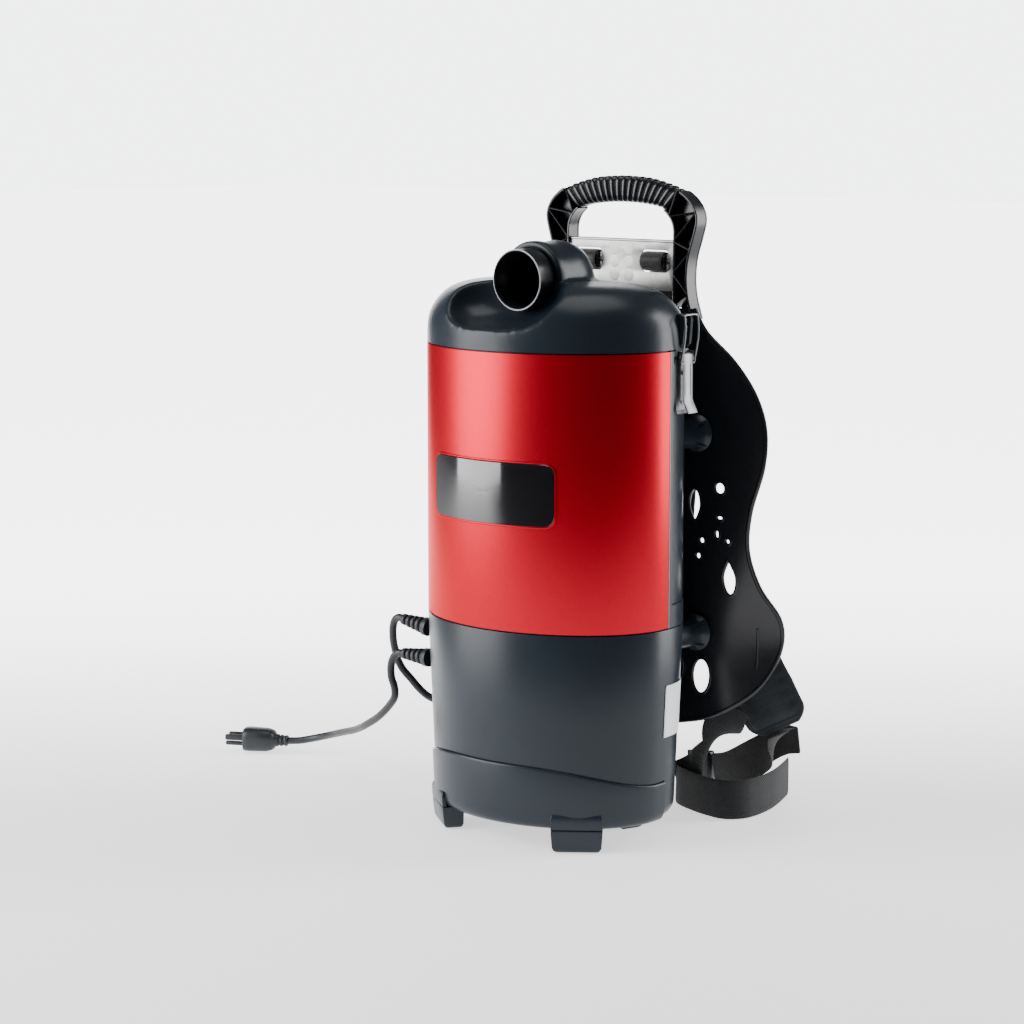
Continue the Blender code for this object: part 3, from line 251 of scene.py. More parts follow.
SLATE = plastic("slate_plastic", (0.009, 0.014, 0.02), (0.014, 0.021, 0.029), 0.27, 0.34, 1500.0, 0.0001,
                0.26)
BLACK = plastic("black_plastic", (0.005, 0.006, 0.008), (0.01, 0.011, 0.015), 0.2, 0.3, 900.0, 0.00006,
                0.4)
INNER = plastic("inner_plastic", (0.014, 0.015, 0.017), (0.026, 0.028, 0.031), 0.45, 0.55, 1200.0, 0.0001)
RUBBER = plastic("foot_rubber", (0.011, 0.013, 0.015), (0.022, 0.025, 0.029), 0.55, 0.7, 1400.0, 0.00015,
                 0.35)
JACKET = plastic("cord_jacket", (0.008, 0.01, 0.013), (0.015, 0.018, 0.022), 0.38, 0.5, 1600.0, 0.0001,
                 0.4)
GLOSS = plastic("gloss_black", (0.004, 0.004, 0.005), (0.008, 0.008, 0.01), 0.04, 0.09, 700.0, 0.00001, 0.6,
                0.6)
RED = red_metallic()
SWITCH_RED = plastic("switch_red", (0.38, 0.008, 0.012), (0.52, 0.015, 0.02), 0.22, 0.3, 900.0, 0.00005)
ZINC = metal("zinc_sheet", (0.36, 0.355, 0.35), (0.47, 0.465, 0.455), 0.42, 0.58, 120.0, spangle=75.0)
# Pale plastic for thin lines that paint highlights on edges, rims and grooves.
PAINTED_HIGHLIGHT = plastic("worn_edge", (0.38, 0.39, 0.42), (0.55, 0.56, 0.59), 0.25, 0.35, 900.0, 0.00004)
NICKEL = metal("nickel_plate", (0.17, 0.17, 0.18), (0.3, 0.3, 0.31), 0.34, 0.5, 300.0, (1.0, 1.0, 0.08))
COPPER = metal("motor_core", (0.2, 0.1, 0.05), (0.34, 0.18, 0.1), 0.35, 0.55, 500.0, (1.0, 1.0, 12.0))
WEB = weave("webbing", (0.004, 0.005, 0.006), (0.014, 0.015, 0.018), 0.0022)
SATIN = weave("satin_webbing", (0.003, 0.003, 0.004), (0.005, 0.006, 0.007), 0.0016, 1.0, 0.28)
PAD = cloth("pad_fabric", (0.01, 0.013, 0.016), (0.02, 0.024, 0.029), 0.0011)
MESH = cloth("pad_mesh", (0.003, 0.004, 0.005), (0.03, 0.034, 0.038), 0.003)
PAPER = cloth("filter_paper", (0.58, 0.53, 0.43), (0.78, 0.74, 0.64), 0.0009, 0.9)
LABEL = plastic("label_film", (0.8, 0.82, 0.84), (0.9, 0.91, 0.92), 0.35, 0.45, 600.0, 0.00003)


# ---------------------------------------------------------------- camera and stage
def camera():
    """The photograph's view: 40 degrees round to the right and 9 degrees down."""
    data = bpy.data.cameras.new("camera")
    data.lens = 96.2
    data.sensor_width = 36.0
    obj = bpy.data.objects.new("camera", data)
    bpy.context.scene.collection.objects.link(obj)
    obj.location = (1.58547, -1.97196 + BODY_Y, 0.6827)
    obj.rotation_euler = Vector((-0.63104, 0.76118, -0.14964)).to_track_quat("-Z", "Y").to_euler()
    data.clip_start, data.clip_end = 0.05, 60.0
    bpy.context.scene.camera = obj


def area_light(name, at, aim, size, power, color=(1.0, 1.0, 1.0)):
    data = bpy.data.lights.new(name, "AREA")
    data.shape = "RECTANGLE"
    data.size, data.size_y = size
    data.energy = power
    data.color = color
    obj = bpy.data.objects.new(name, data)
    bpy.context.scene.collection.objects.link(obj)
    obj.location = at
    obj.rotation_euler = (Vector(aim) - Vector(at)).to_track_quat("-Z", "Y").to_euler()


def stage():
    bm = bmesh.new()
    bmesh.ops.create_grid(bm, x_segments=1, y_segments=1, size=14.0)
    mesh = bpy.data.meshes.new("floor")
    bm.to_mesh(mesh)
    bm.free()
    floor = bpy.data.objects.new("floor", mesh)
    bpy.context.scene.collection.objects.link(floor)
    floor.location.z = -0.0004
    made, nodes, links, shader = shader_of("floor_paper", (0.86, 0.86, 0.86), 0.85, specular=0.1)
    # Painted shade: the floor's colour runs from dark in front of the object to pale behind it, where it also
    # glows as painted light.
    back = dotted(nodes, links, nodes.new("ShaderNodeTexCoord").outputs["Object"], (*BEHIND, 0.0))
    mixed_color(nodes, links, shader, smoothed(nodes, links, back, (-1.15, -0.62), (0.0, 1.0)),
                (0.04, 0.04, 0.04),
                (0.88, 0.88, 0.88))
    shader.inputs["Emission Color"].default_value = (1.0, 1.0, 1.0, 1.0)
    links.new(sweep_glow(nodes, links), shader.inputs["Emission Strength"])
    mesh.materials.append(made)
    world = bpy.data.worlds.new("studio")
    bpy.context.scene.world = world
    world.use_nodes = True
    nodes, links = world.node_tree.nodes, world.node_tree.links
    nodes["Background"].inputs["Color"].default_value = (0.95, 0.97, 1.0, 1.0)
    coords = nodes.new("ShaderNodeTexCoord")
    toward = dotted(nodes, links, coords.outputs["Generated"], (*BEHIND, 0.0))
    glow = smoothed(nodes, links, toward, (0.9, 0.955), (0.16, 4.8))
    links.new(glow, nodes["Background"].inputs["Strength"])
    aim = (0.0, BODY_Y, 0.3)
    area_light("key_left", (-1.53, -1.7, 0.8), aim, (1.75, 2.1), 112.0)
    area_light("rim_right", (1.28, 1.42, 0.75), aim, (0.7, 1.9), 46.0)
    area_light("top", (0.1, -0.1, 2.1), aim, (1.2, 1.2), 14.0)


BEHIND = (-0.638, 0.77)


def dotted(nodes, links, vector, direction):
    made = nodes.new("ShaderNodeVectorMath")
    made.operation = "DOT_PRODUCT"
    made.inputs[1].default_value = direction
    links.new(vector, made.inputs[0])
    return made.outputs["Value"]


def smoothed(nodes, links, value, limits, results):
    made = nodes.new("ShaderNodeMapRange")
    made.interpolation_type = "SMOOTHSTEP"
    made.inputs["From Min"].default_value, made.inputs["From Max"].default_value = limits
    made.inputs["To Min"].default_value, made.inputs["To Max"].default_value = results
    links.new(value, made.inputs["Value"])
    return made.outputs["Result"]


def sum_of(nodes, links, operation, first, second):
    made = nodes.new("ShaderNodeMath")
    made.operation = operation
    for value, socket in ((first, made.inputs[0]), (second, made.inputs[1])):
        if isinstance(value, float):
            socket.default_value = value
        else:
            links.new(value, socket)
    return made.outputs["Value"]


def sweep_glow(nodes, links):
    """The paper sweep glows behind the object, where a studio's background lamps would light it."""
    coords = nodes.new("ShaderNodeTexCoord").outputs["Object"]
    back = dotted(nodes, links, coords, (*BEHIND, 0.0))
    aside = sum_of(nodes, links, "ABSOLUTE", dotted(nodes, links, coords, (BEHIND[1], -BEHIND[0], 0.0)), 0.0)
    room = sum_of(nodes, links, "MULTIPLY", sum_of(nodes, links, "MAXIMUM", back, 0.0), 0.3)
    room = sum_of(nodes, links, "ADD", room, 0.95)
    share = sum_of(nodes, links, "DIVIDE", aside, room)
    near = smoothed(nodes, links, back, (-1.3, -0.7), (0.0, 1.0))
    far = smoothed(nodes, links, back, (-0.1, 1.4), (1.0, 4.8))
    return sum_of(nodes, links, "MULTIPLY", sum_of(nodes, links, "MULTIPLY", near, far),
                  smoothed(nodes, links, share, (0.7, 1.15), (1.0, 0.0)))


camera()
stage()


# ---------------------------------------------------------------- making pieces
def place(obj, body, replaces=()):
    """Sets a piece made in the tank's frame into the row frame and ties it to its CAD body."""
    obj.location.y += BODY_Y
    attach(obj, body)
    if replaces:
        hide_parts(*([replaces] if isinstance(replaces, str) else replaces))
    return obj


def linked(name, mesh, mat):
    obj = bpy.data.objects.new(name, mesh)
    bpy.context.scene.collection.objects.link(obj)
    mesh.materials.clear()
    if mat is not None:
        mesh.materials.append(mat)
    return obj


def from_bm(name, bm, mat, angle=38.0):
    bmesh.ops.recalc_face_normals(bm, faces=bm.faces)
    mesh = bpy.data.meshes.new(name)
    bm.to_mesh(mesh)
    bm.free()
    mesh.shade_smooth()
    mesh.set_sharp_from_angle(angle=math.radians(angle))
    return linked(name, mesh, mat)


def rows_into(bm, rows, around=True, ends="fill"):
    """Quads through rows of points. around closes each row; ends is fill, join or open."""
    made = [[bm.verts.new(Vector(p)) for p in row] for row in rows]
    count = len(made[0])
    pairs = list(zip(made, made[1:]))
    if ends == "join":
        pairs.append((made[-1], made[0]))
    for low, high in pairs:
        for i in range(count if around else count - 1):
            j = (i + 1) % count
            bm.faces.new((low[i], low[j], high[j], high[i]))
    if ends == "fill":
        bm.faces.new(made[0][::-1])
        bm.faces.new(made[-1])


def loft(name, rows, mat, ends="fill", angle=38.0):
    bm = bmesh.new()
    rows_into(bm, rows, ends=ends)
    return from_bm(name, bm, mat, angle)


def spin(profile, steps, at=(0.0, 0.0, 0.0), turn=(0.0, 0.0, 0.0)):
    """Rows of points of a profile of (radius, height) pairs turned about Z, placed by at and turn."""
    spin_to = Matrix.Translation(at) @ Matrix.Rotation(turn[2], 4, "Z") @ Matrix.Rotation(turn[1], 4, "Y") \
        @ Matrix.Rotation(turn[0], 4, "X")
    rows = []
    for i in range(steps):
        c, s = math.cos(math.tau * i / steps), math.sin(math.tau * i / steps)
        rows.append([spin_to @ Vector((r * c, r * s, z)) for r, z in profile])
    return rows


def turned(name, profile, mat, at=(0.0, 0.0, 0.0), turn=(0.0, 0.0, 0.0), steps=64, closed=False, angle=38.0):
    """A turned solid. A profile that isn't closed starts and ends on the axis."""
    bm = bmesh.new()
    rows_into(bm, spin(profile, steps, at, turn), around=closed, ends="join")
    bmesh.ops.remove_doubles(bm, verts=bm.verts, dist=0.000002)
    return from_bm(name, bm, mat, angle)


def rounded_box(name, low, high, radius, mat, segments=3):
    bm = bmesh.new()
    low, high = Vector(low), Vector(high)
    bmesh.ops.create_cube(bm, size=1.0, matrix=Matrix.Translation((low + high) / 2)
                          @ Matrix.Diagonal((*(high - low), 1.0)))
    bmesh.ops.bevel(bm, geom=bm.edges[:] + bm.verts[:], offset=radius, segments=segments, profile=0.5,
                    affect="EDGES")
    return from_bm(name, bm, mat, 50.0)


def ball(name, centre, radii, segments=96, rings=48):
    bm = bmesh.new()
    bmesh.ops.create_uvsphere(bm, u_segments=segments, v_segments=rings, radius=1.0,
                              matrix=Matrix.Translation(centre) @ Matrix.Diagonal((*radii, 1.0)))
    return from_bm(name, bm, None)


def apply_modifiers(obj):
    graph = bpy.context.evaluated_depsgraph_get()
    mesh = bpy.data.meshes.new_from_object(obj.evaluated_get(graph))
    obj.modifiers.clear()
    obj.data = mesh
    return obj


def boolean(obj, other, operation="DIFFERENCE", solver="MANIFOLD"):
    """Cuts or joins at once, and removes the other object."""
    mod = obj.modifiers.new("boolean", "BOOLEAN")
    mod.object = other
    mod.operation = operation
    mod.solver = solver
    apply_modifiers(obj)
    bpy.data.objects.remove(other, do_unlink=True)
    return obj


def join(name, parts, mat=None):
    """One object from several that share a material, or keep their own when mat is None."""
    bm = bmesh.new()
    materials = []
    for part in parts:
        own = part.data.materials[0] if mat is None else mat
        if own not in materials:
            materials.append(own)
        start = len(bm.faces)
        bm.from_mesh(part.data)
        bm.faces.ensure_lookup_table()
        for face in bm.faces[start:]:
            face.material_index = materials.index(own)
        bpy.data.objects.remove(part, do_unlink=True)
    mesh = bpy.data.meshes.new(name)
    bm.to_mesh(mesh)
    bm.free()
    obj = linked(name, mesh, None)
    for own in materials:
        mesh.materials.append(own)
    return obj


def smooth_path(points, count):
    """Evenly spaced points on the smooth (centripetal Catmull-Rom) curve through points."""
    pts = [Vector(p) for p in points]
    pts = [2 * pts[0] - pts[1]] + pts + [2 * pts[-1] - pts[-2]]
    dense = []
    for p0, p1, p2, p3 in zip(pts, pts[1:], pts[2:], pts[3:]):
        t1 = max((p1 - p0).length, 1e-9) ** 0.5
        t2 = t1 + max((p2 - p1).length, 1e-9) ** 0.5
        t3 = t2 + max((p3 - p2).length, 1e-9) ** 0.5
        for step in range(24):
            t = t1 + (t2 - t1) * step / 24
            a1 = p0 * ((t1 - t) / t1) + p1 * (t / t1)
            a2 = p1 * ((t2 - t) / (t2 - t1)) + p2 * ((t - t1) / (t2 - t1))
            a3 = p2 * ((t3 - t) / (t3 - t2)) + p3 * ((t - t2) / (t3 - t2))
            b1 = a1 * ((t2 - t) / t2) + a2 * (t / t2)
            b2 = a2 * ((t3 - t) / (t3 - t1)) + a3 * ((t - t1) / (t3 - t1))
            dense.append(b1 * ((t2 - t) / (t2 - t1)) + b2 * ((t - t1) / (t2 - t1)))
    dense.append(pts[-2])
    lengths = [0.0]
    for a, b in zip(dense, dense[1:]):
        lengths.append(lengths[-1] + (b - a).length)
    out = []
    k = 0
    for i in range(count):
        goal = lengths[-1] * i / (count - 1)
        while k < len(dense) - 2 and lengths[k + 1] < goal:
            k += 1
        span = max(lengths[k + 1] - lengths[k], 1e-12)
        out.append(dense[k].lerp(dense[k + 1], min(1.0, max(0.0, (goal - lengths[k]) / span))))
    return out


def path_length(points):
    return sum((b - a).length for a, b in zip(points, points[1:]))


def tube_rows(points, radius, sides=12, cyclic=False):
    """Rings of a round rod along points, turned as little as possible from one to the next."""
    count = len(points)
    rows = []
    across = None
    for i, point in enumerate(points):
        ahead = points[(i + 1) % count] if cyclic else points[min(i + 1, count - 1)]
        behind = points[i - 1] if cyclic or i else points[0]
        tangent = (Vector(ahead) - Vector(behind)).normalized()
        if across is None:
            across = tangent.orthogonal()
        across = (across - tangent * across.dot(tangent)).normalized()
        other = tangent.cross(across)
        r = radius(i / (count - 1)) if callable(radius) else radius
        rows.append([Vector(point) + (across * math.cos(math.tau * k / sides)
                                      + other * math.sin(math.tau * k / sides)) * r for k in range(sides)])
    return rows


def rod(name, points, radius, mat, sides=12, cyclic=False):
    return loft(name, tube_rows([Vector(p) for p in points], radius, sides, cyclic), mat,
                "join" if cyclic else "fill")


def along(values, share):
    place_at = (len(values) - 1) * share
    k = min(int(place_at), len(values) - 2)
    return values[k] + (values[k + 1] - values[k]) * (place_at - k)


# ---------------------------------------------------------------- the tank's outline
def taper(z):
    return 1.0 + min(0.0, z - SEAM_LOW) * TAPER


def outline(angle, inset=0.0, scale=1.0):
    c, s = math.cos(angle), math.sin(angle)
    exponent, depth = (FRONT_EXP, FRONT_DEPTH) if s < 0 else (BACK_EXP, BACK_DEPTH)
    x = math.copysign(abs(c) ** (2 / exponent), c) * (HALF_WIDTH * scale - inset)
    y = math.copysign(abs(s) ** (2 / exponent), s) * (depth * scale - inset)
    return x, y


def back_angle(y):
    """The outline angle at which the right side wall reaches y, behind the widest line."""
    return math.asin((y / BACK_DEPTH) ** (BACK_EXP / 2))


def angles_with(breaks, count, start=0.0, stop=math.tau, soft=0.0015):
    """Even steps from start to stop, with a close pair of angles at each break."""
    even = [start + (stop - start) * i / count for i in range(count + 1)]
    pairs = [b + sign * soft for b in breaks for sign in (-1, 1)]
    kept = [a for a in even if all(abs(a - p) > soft * 2 for p in pairs)]
    return sorted(kept + [p for p in pairs if start <= p <= stop])


def sweep(name, section, angles, mat, closed=False, angle=38.0):
    """A band round the tank; section(angle) gives its closed (inset, z) cross-section."""
    rows = []
    for a in angles:
        rows.append([(*outline(a, inset, taper(z)), z) for inset, z in section(a)])
    return loft(name, rows, mat, "join" if closed else "fill", angle)


def front_angles(y_end, count):
    """Angles from the left edge at y_end, round the front, to the right edge."""
    end = back_angle(y_end)
    return [-math.pi - end + (math.pi + 2 * end) * i / count for i in range(count + 1)]


def ring_angles(breaks, count):
    """Angles all the way round, closely paired at the breaks, without the repeated last one."""
    return angles_with(breaks, count)[:-1]


# ---------------------------------------------------------------- motor base
def cover_top(angle):
    x = abs(outline(angle)[0]) / HALF_WIDTH
    return COVER_TOP - 0.021 * x ** 3.2


def post(side, z, name):
    """A post moulded on the body's back, flared towards the harness plate, with four ribs."""
    scale = taper(z)
    angle = math.acos((STANDOFF_X / HALF_WIDTH) ** (BACK_EXP / 2))
    start = outline(angle, 0.0, scale)[1] - 0.004
    far = wing_y(STANDOFF_X - 0.022, z) - 0.0006
    reach = far - start
    profile = [(0.0, reach), (0.0125, reach)]
    profile += [(0.0125 + 0.0055 * math.exp(-h / 0.0045), h) for h in (0.022, 0.016, 0.011, 0.008, 0.0055,
                                                                       0.0035, 0.002, 0.0008)]
    profile += [(0.0178, 0.0), (0.0, 0.0)]
    at = (side * STANDOFF_X, far, z)
    parts = [turned(name, profile, SLATE, at, (math.pi / 2, 0.0, 0.0), steps=48)]
    for k in range(4):
        turn = math.tau * (k + 0.5) / 4
        out = Vector((math.cos(turn), 0.0, math.sin(turn)))
        flank = Vector((-out.z, 0.0, out.x)) * 0.0011
        foot, top = Vector(at) + out * 0.0172, Vector(at) + out * 0.0118 - Vector((0.0, 0.02, 0.0))
        inner = Vector(at) + out * 0.0118
        rows = [[inner + flank * s, foot + flank * s, top + flank * s] for s in (-1, 1)]
        parts.append(loft(f"{name}_rib_{k}", rows, SLATE))
    return join(name, parts)


def housing():
    arc = back_angle(COVER_BACK_Y + 0.0005)

    def section(a):
        top = cover_top(a) + 0.0004
        if outline(a)[1] < COVER_BACK_Y + 0.0005:
            low = [(0.016, 0.0262), (0.0084, 0.0262), (0.0039, 0.0279), (0.0016, 0.0342),
                   (0.0016, top - 0.0006), (0.0016, top), (0.0, top + 0.0002)]
        else:
            low = [(0.016, 0.022), (0.007, 0.0235), (0.0035, 0.0255), (0.0008, 0.03), (0.0, 0.034),
                   (0.0, 0.0345), (0.0, 0.035)]
        return low + [(0.0, 0.12), (0.0, SEAM_LOW - 0.0011), (0.0003, SEAM_LOW - 0.0003), (0.001, SEAM_LOW),
                      (WALL, SEAM_LOW), (WALL, 0.12), (WALL, 0.036), (0.016, 0.03)]
    wall = sweep("housing_wall", section, ring_angles((arc, math.pi - arc), 224), SLATE, closed=True)
    rows = [[(*outline(math.tau * i / 96, 0.0155, taper(z)), z) for i in range(96)] for z in (0.0224, 0.0299)]
    floor = loft("housing_floor", rows, SLATE)
    boolean(floor, rounded_box("front_room", (-0.2, -0.2, 0.0), (0.2, COVER_BACK_Y, 0.0263), 0.0005, None))
    for i in range(7):
        x = (i - 3) * 0.012
        boolean(floor, rounded_box("slot", (x - 0.003, -0.037, 0.0), (x + 0.003, 0.027, 0.05), 0.0012, None))
    posts = [post(side, STANDOFF_Z[0], f"low_post_{hand}") for side, hand in SIDES]
    place(join("motor_casing", [wall, floor] + posts), "frame", "motor_housing")


def foot_rings(levels, side, at, turn, wide=1.0):
    base = Vector((side * at[0], at[1], 0.0))
    out = Vector((side * math.sin(turn), -math.cos(turn), 0.0))
    across = Vector((out.y, -out.x, 0.0))
    rings = []
    for z, half, near, far in levels:
        lift = base + Vector((0.0, 0.0, z))
        half *= wide
        rings.append([lift + out * near + across * half, lift + out * far + across * half,
                      lift + out * far - across * half, lift + out * near - across * half])
    return rings


def beveled(obj, width, segments=3, angle=30.0):
    mod = obj.modifiers.new("bevel", "BEVEL")
    mod.width = width
    mod.segments = segments
    mod.limit_method = "ANGLE"
    mod.angle_limit = math.radians(angle)
    mod.harden_normals = False
    apply_modifiers(obj)
    obj.data.shade_smooth()
    obj.data.set_sharp_from_angle(angle=math.radians(40))
    return obj


FOOT_FRONT, FOOT_REAR = (0.0717, -0.0523), (0.056, 0.048)
FOOT_TURN, REAR_TURN = math.radians(37), math.radians(20)


def cover():
    """The front cover: arched top edge with a rounded lip, a crease above the feet and two lugs."""
    def section(a):
        top = cover_top(a)
        return [(0.008, 0.022), (0.003, 0.022), (0.0008, 0.0236), (-0.0008, 0.0265), (-0.0018, 0.0305),
                (-0.002, 0.0345), (-0.002, 0.05), (-0.002, top - 0.0022), (-0.0017, top - 0.001),
                (-0.0011, top - 0.0003), (-0.0003, top), (0.001, top), (0.001, 0.034), (0.0035, 0.0275),
                (0.008, 0.0252)]
    parts = [sweep("cover_band", section, front_angles(COVER_BACK_Y, 200), SLATE)]
    for side, hand in SIDES:
        lug = foot_rings(((0.022, 0.024, 0.017, 0.0209), (0.033, 0.024, 0.017, 0.0215),
                          (0.0362, 0.0225, 0.017, 0.0204)), side, FOOT_FRONT, FOOT_TURN)
        parts.append(beveled(loft(f"lug_{hand}", lug, SLATE), 0.0007))
    place(join("front_cover", parts), "base_cover", "base_cover")


def feet():
    block = [(0.0, 0.019, 0.002, 0.016), (0.0015, 0.0212, 0.001, 0.0176), (0.0045, 0.0228, 0.0, 0.019),
             (0.015, 0.0236, 0.0, 0.0203), (0.0185, 0.0238, -0.028, 0.0206), (0.0217, 0.0239, -0.028, 0.0208)]
    pad = [(0.0, 0.017, -0.018, 0.0), (0.0035, 0.0195, -0.02, 0.005), (0.012, 0.0215, -0.021, 0.012),
           (0.0216, 0.023, -0.021, 0.0212)]
    root = [(0.022, 0.015, -0.026, -0.008), (0.0259, 0.015, -0.026, -0.008)]
    for side, hand in SIDES:
        front = loft(f"foot_front_{hand}", foot_rings(block + root, side, FOOT_FRONT, FOOT_TURN), SLATE)
        place(beveled(front, 0.002), "frame", f"front_foot_{hand}")
        rear = loft(f"foot_rear_{hand}", foot_rings(pad, side, FOOT_REAR, math.pi - REAR_TURN), RUBBER)
        place(beveled(rear, 0.0012), "frame", f"rear_foot_{hand}")


# ---------------------------------------------------------------- tank
def tank():
    """The tank's shell: recessed under the red panel, an inset field on each side and a latch pocket."""
    low, high = SEAM_LOW + 0.0004, SEAM_HIGH - 0.0005
    floor_x = outline(back_angle(LATCH_Y))[0] - 0.0022
    field_y, field_z, pocket_z = (0.0125, 0.05), (0.225, 0.452), 0.398
    pocket_y = (LATCH_Y - 0.0115, LATCH_Y + 0.0115)
    step = 0.0005
    panel_edge = back_angle(PANEL_BACK_Y + GAP)
    right = [panel_edge] + [back_angle(y) for y in (*field_y, *pocket_y)]
    angles = ring_angles(right + [math.pi - a for a in right], 240)
    levels = [low, low + 0.0007, low + 0.01]
    for z in (field_z[0], pocket_z, field_z[1]):
        levels += [z - step, z + step]
    levels += [high - 0.0007, high]

    def inside(value, limits):
        return limits[0] < value < limits[1]
    rows = []
    for a in angles:
        y = outline(a)[1]
        covered = y < PANEL_BACK_Y + GAP
        row = []
        for z in levels:
            inset = PANEL_THICK + GAP if covered else 0.0006 if z in (low, high) else 0.0
            if inside(y, field_y) and inside(z, field_z):
                inset = 0.0011
            point = outline(a, inset)
            if inside(y, pocket_y) and z > pocket_z:
                point = (math.copysign(floor_x, point[0]), point[1])
            row.append((*point, z))
        row += [(*outline(a, WALL), high), (*outline(a, WALL), low)]
        rows.append(row)
    wall = loft("tank_wall", rows, SLATE, "join", 25.0)
    bottom_rows = [[(*outline(math.tau * i / 96, WALL - 0.0002), z) for i in range(96)]
                   for z in (low + 0.0005, low + 0.0036)]
    bottom = loft("tank_floor", bottom_rows, SLATE)
    boolean(bottom, turned("suction_hole", [(0.0, 0.25), (0.026, 0.25), (0.026, 0.15), (0.0, 0.15)], None,
                           (0.0, -0.005, 0.0), steps=64))
    posts = [post(side, STANDOFF_Z[1], f"high_post_{hand}") for side, hand in SIDES]
    place(join("tank_casing", [wall, bottom] + posts), "frame", "tank_shell")


def panel():
    low, high = SEAM_LOW + 0.001, SEAM_HIGH - 0.001

    def section(a):
        return [(PANEL_THICK, low), (0.0004, low), (0.0001, low + 0.0002), (0.0, low + 0.0006),
                (0.0, (low + high) / 2), (0.0, high - 0.0006), (0.0001, high - 0.0002), (0.0004, high),
                (PANEL_THICK, high)]
    band = sweep("red_front", section, front_angles(PANEL_BACK_Y, 240), RED)
    place(band, "frame", "red_panel")
    # A pale rod down each edge of the red panel: a painted highlight.
    for side, hand in SIDES:
        a = back_angle(PANEL_BACK_Y + 0.0012)
        a = a if side > 0 else math.pi - a
        rows = []
        for z in (low, low + 0.002, high - 0.002, high):
            rows.append(Vector((*outline(a, 0.0005), z)))
        trim = rod(f"panel_edge_{hand}", rows, 0.0006, PAINTED_HIGHLIGHT, sides=10)
        place(trim, "frame")


def badge():
    """A blank name plate: gloss black with a thin bright rim, bent to the panel's curve."""
    half_w, low, high, corner = 0.069, 0.302, 0.3585, 0.009
    centre_z, half_h = (low + high) / 2, (high - low) / 2

    def surface(x, z, proud):
        a = -math.acos(math.copysign((abs(x) / HALF_WIDTH) ** (FRONT_EXP / 2), x))
        px, py = outline(a, -proud)
        return Vector((px, py, z))

    def between(a, b, count):
        return [(a[0] + (b[0] - a[0]) * i / count, a[1] + (b[1] - a[1]) * i / count) for i in range(1, count)]

    def frame_points(inset, proud, per_corner=10, per_side=16):
        w, h, r = half_w - inset, half_h - inset, corner - inset
        points = []
        for cx, cz, start in ((w - r, h - r, 0.0), (-w + r, h - r, 90.0), (-w + r, -h + r, 180.0),
                              (w - r, -h + r, 270.0)):
            turns = [math.radians(start + 90.0 * i / per_corner) for i in range(per_corner + 1)]
            bend = [(cx + r * math.cos(t), cz + r * math.sin(t)) for t in turns]
            if points:
                points += between(points[-1], bend[0], per_side)
            points += bend
        points += between(points[-1], points[0], per_side)
        return [surface(x, centre_z + z, proud) for x, z in points]
    rows = [frame_points(0.0, GAP), frame_points(0.0, 0.0014), frame_points(0.0004, 0.0018)]
    columns = 24
    inner = frame_points(0.0016, 0.0018)
    bm = bmesh.new()
    rows_into(bm, rows + [inner], ends="open")
    face = [bm.verts.new(p) for p in inner]
    count = len(face)
    for i in range(columns):
        scale = 1.0 - (i + 1) / columns
        ring = [bm.verts.new(surface(p.x * scale, centre_z + (p.z - centre_z) * scale,
                                     0.0018)) for p in inner]
        for k in range(count):
            m = (k + 1) % count
            bm.faces.new((face[k], face[m], ring[m], ring[k]))
        face = ring
    bmesh.ops.remove_doubles(bm, verts=bm.verts, dist=0.00001)
    plate = from_bm("name_plate", bm, GLOSS)
    place(plate, "frame", "badge_plate")
    rim = rod("name_plate_rim", frame_points(-0.0009, 0.0002), 0.0011, RED, sides=10, cyclic=True)
    place(rim, "frame")


def label():
    """A blank rating label on the housing's right side, below the low seam."""
    def section(z, round_off):
        points = []
        for i in range(33):
            a = math.radians(2.2 + round_off) + math.radians(30.8 - 2 * round_off) * i / 32
            points.append((*outline(a, -0.0007, taper(z)), z))
        return points
    heights = [0.101, 0.1013, 0.102] + [0.104 + 0.0043 * i for i in range(10)] + [0.148, 0.1497, 0.15]
    rounds = [0.5, 0.2, 0.0] + [0.0] * 10 + [0.0, 0.2, 0.5]
    bm = bmesh.new()
    rows_into(bm, [section(z, r) for z, r in zip(heights, rounds)], around=False, ends="open")
    film = from_bm("blank_label", bm, LABEL)
    solid = film.modifiers.new("thick", "SOLIDIFY")
    solid.thickness = 0.0003
    place(apply_modifiers(film), "frame", "rating_label")


# ---------------------------------------------------------------- lid and intake
DOME = ((-0.012, 0.0), (0.0, 0.0), (0.02, 0.0008), (0.029, 0.003), (0.037, 0.0075), (0.044, 0.0135),
        (0.05, 0.021), (0.054, 0.03), (0.057, 0.042), (0.059, 0.06), (0.0597, 0.074))


def dome(name, thinner, low):
    """The lid's plain dome, thinner by a wall, from height low up."""
    profile = smooth_path([(z + SEAM_HIGH - thinner, inset + thinner * 0.98, 0.0) for z, inset in DOME], 44)
    rows = [[(*outline(math.tau * i / 160, p.y), p.x) for i in range(160)] for p in profile if p.x > low]
    first = profile[0].y
    rows.insert(0, [(*outline(math.tau * i / 160, first), low) for i in range(160)])
    return loft(name, rows, None)


def scoop(name, grow):
    """The basin round the intake: a boxy ellipsoid, with a flat floor and steep ends."""
    centre = Vector((0.0, -0.082, 0.524))
    radii = (0.063 + grow, 0.052 + grow, 0.047 + grow)
    made = ball(name, centre, radii)
    for vertex in made.data.vertices:
        unit = Vector(c / r for c, r in zip(vertex.co - centre, radii))
        size = (abs(unit.x) ** 3.2 + abs(unit.y) ** 2.4 + abs(unit.z) ** 3.2) ** (1 / 3)
        vertex.co = centre + (vertex.co - centre) / size
    return made


def hump(name, grow, front_y):
    radius, back = COLLAR_R + grow, 0.004
    barrel = turned(name, [(0.0, back), (radius, back), (radius, front_y), (0.0, front_y)], None,
                    (0.0, 0.0, INLET_Z), (-math.pi / 2, 0.0, 0.0), steps=96)
    return boolean(barrel, ball(name + "_end", (0.0, back, INLET_Z), (radius, 0.038 + grow, radius + 0.001)),
                   "UNION")


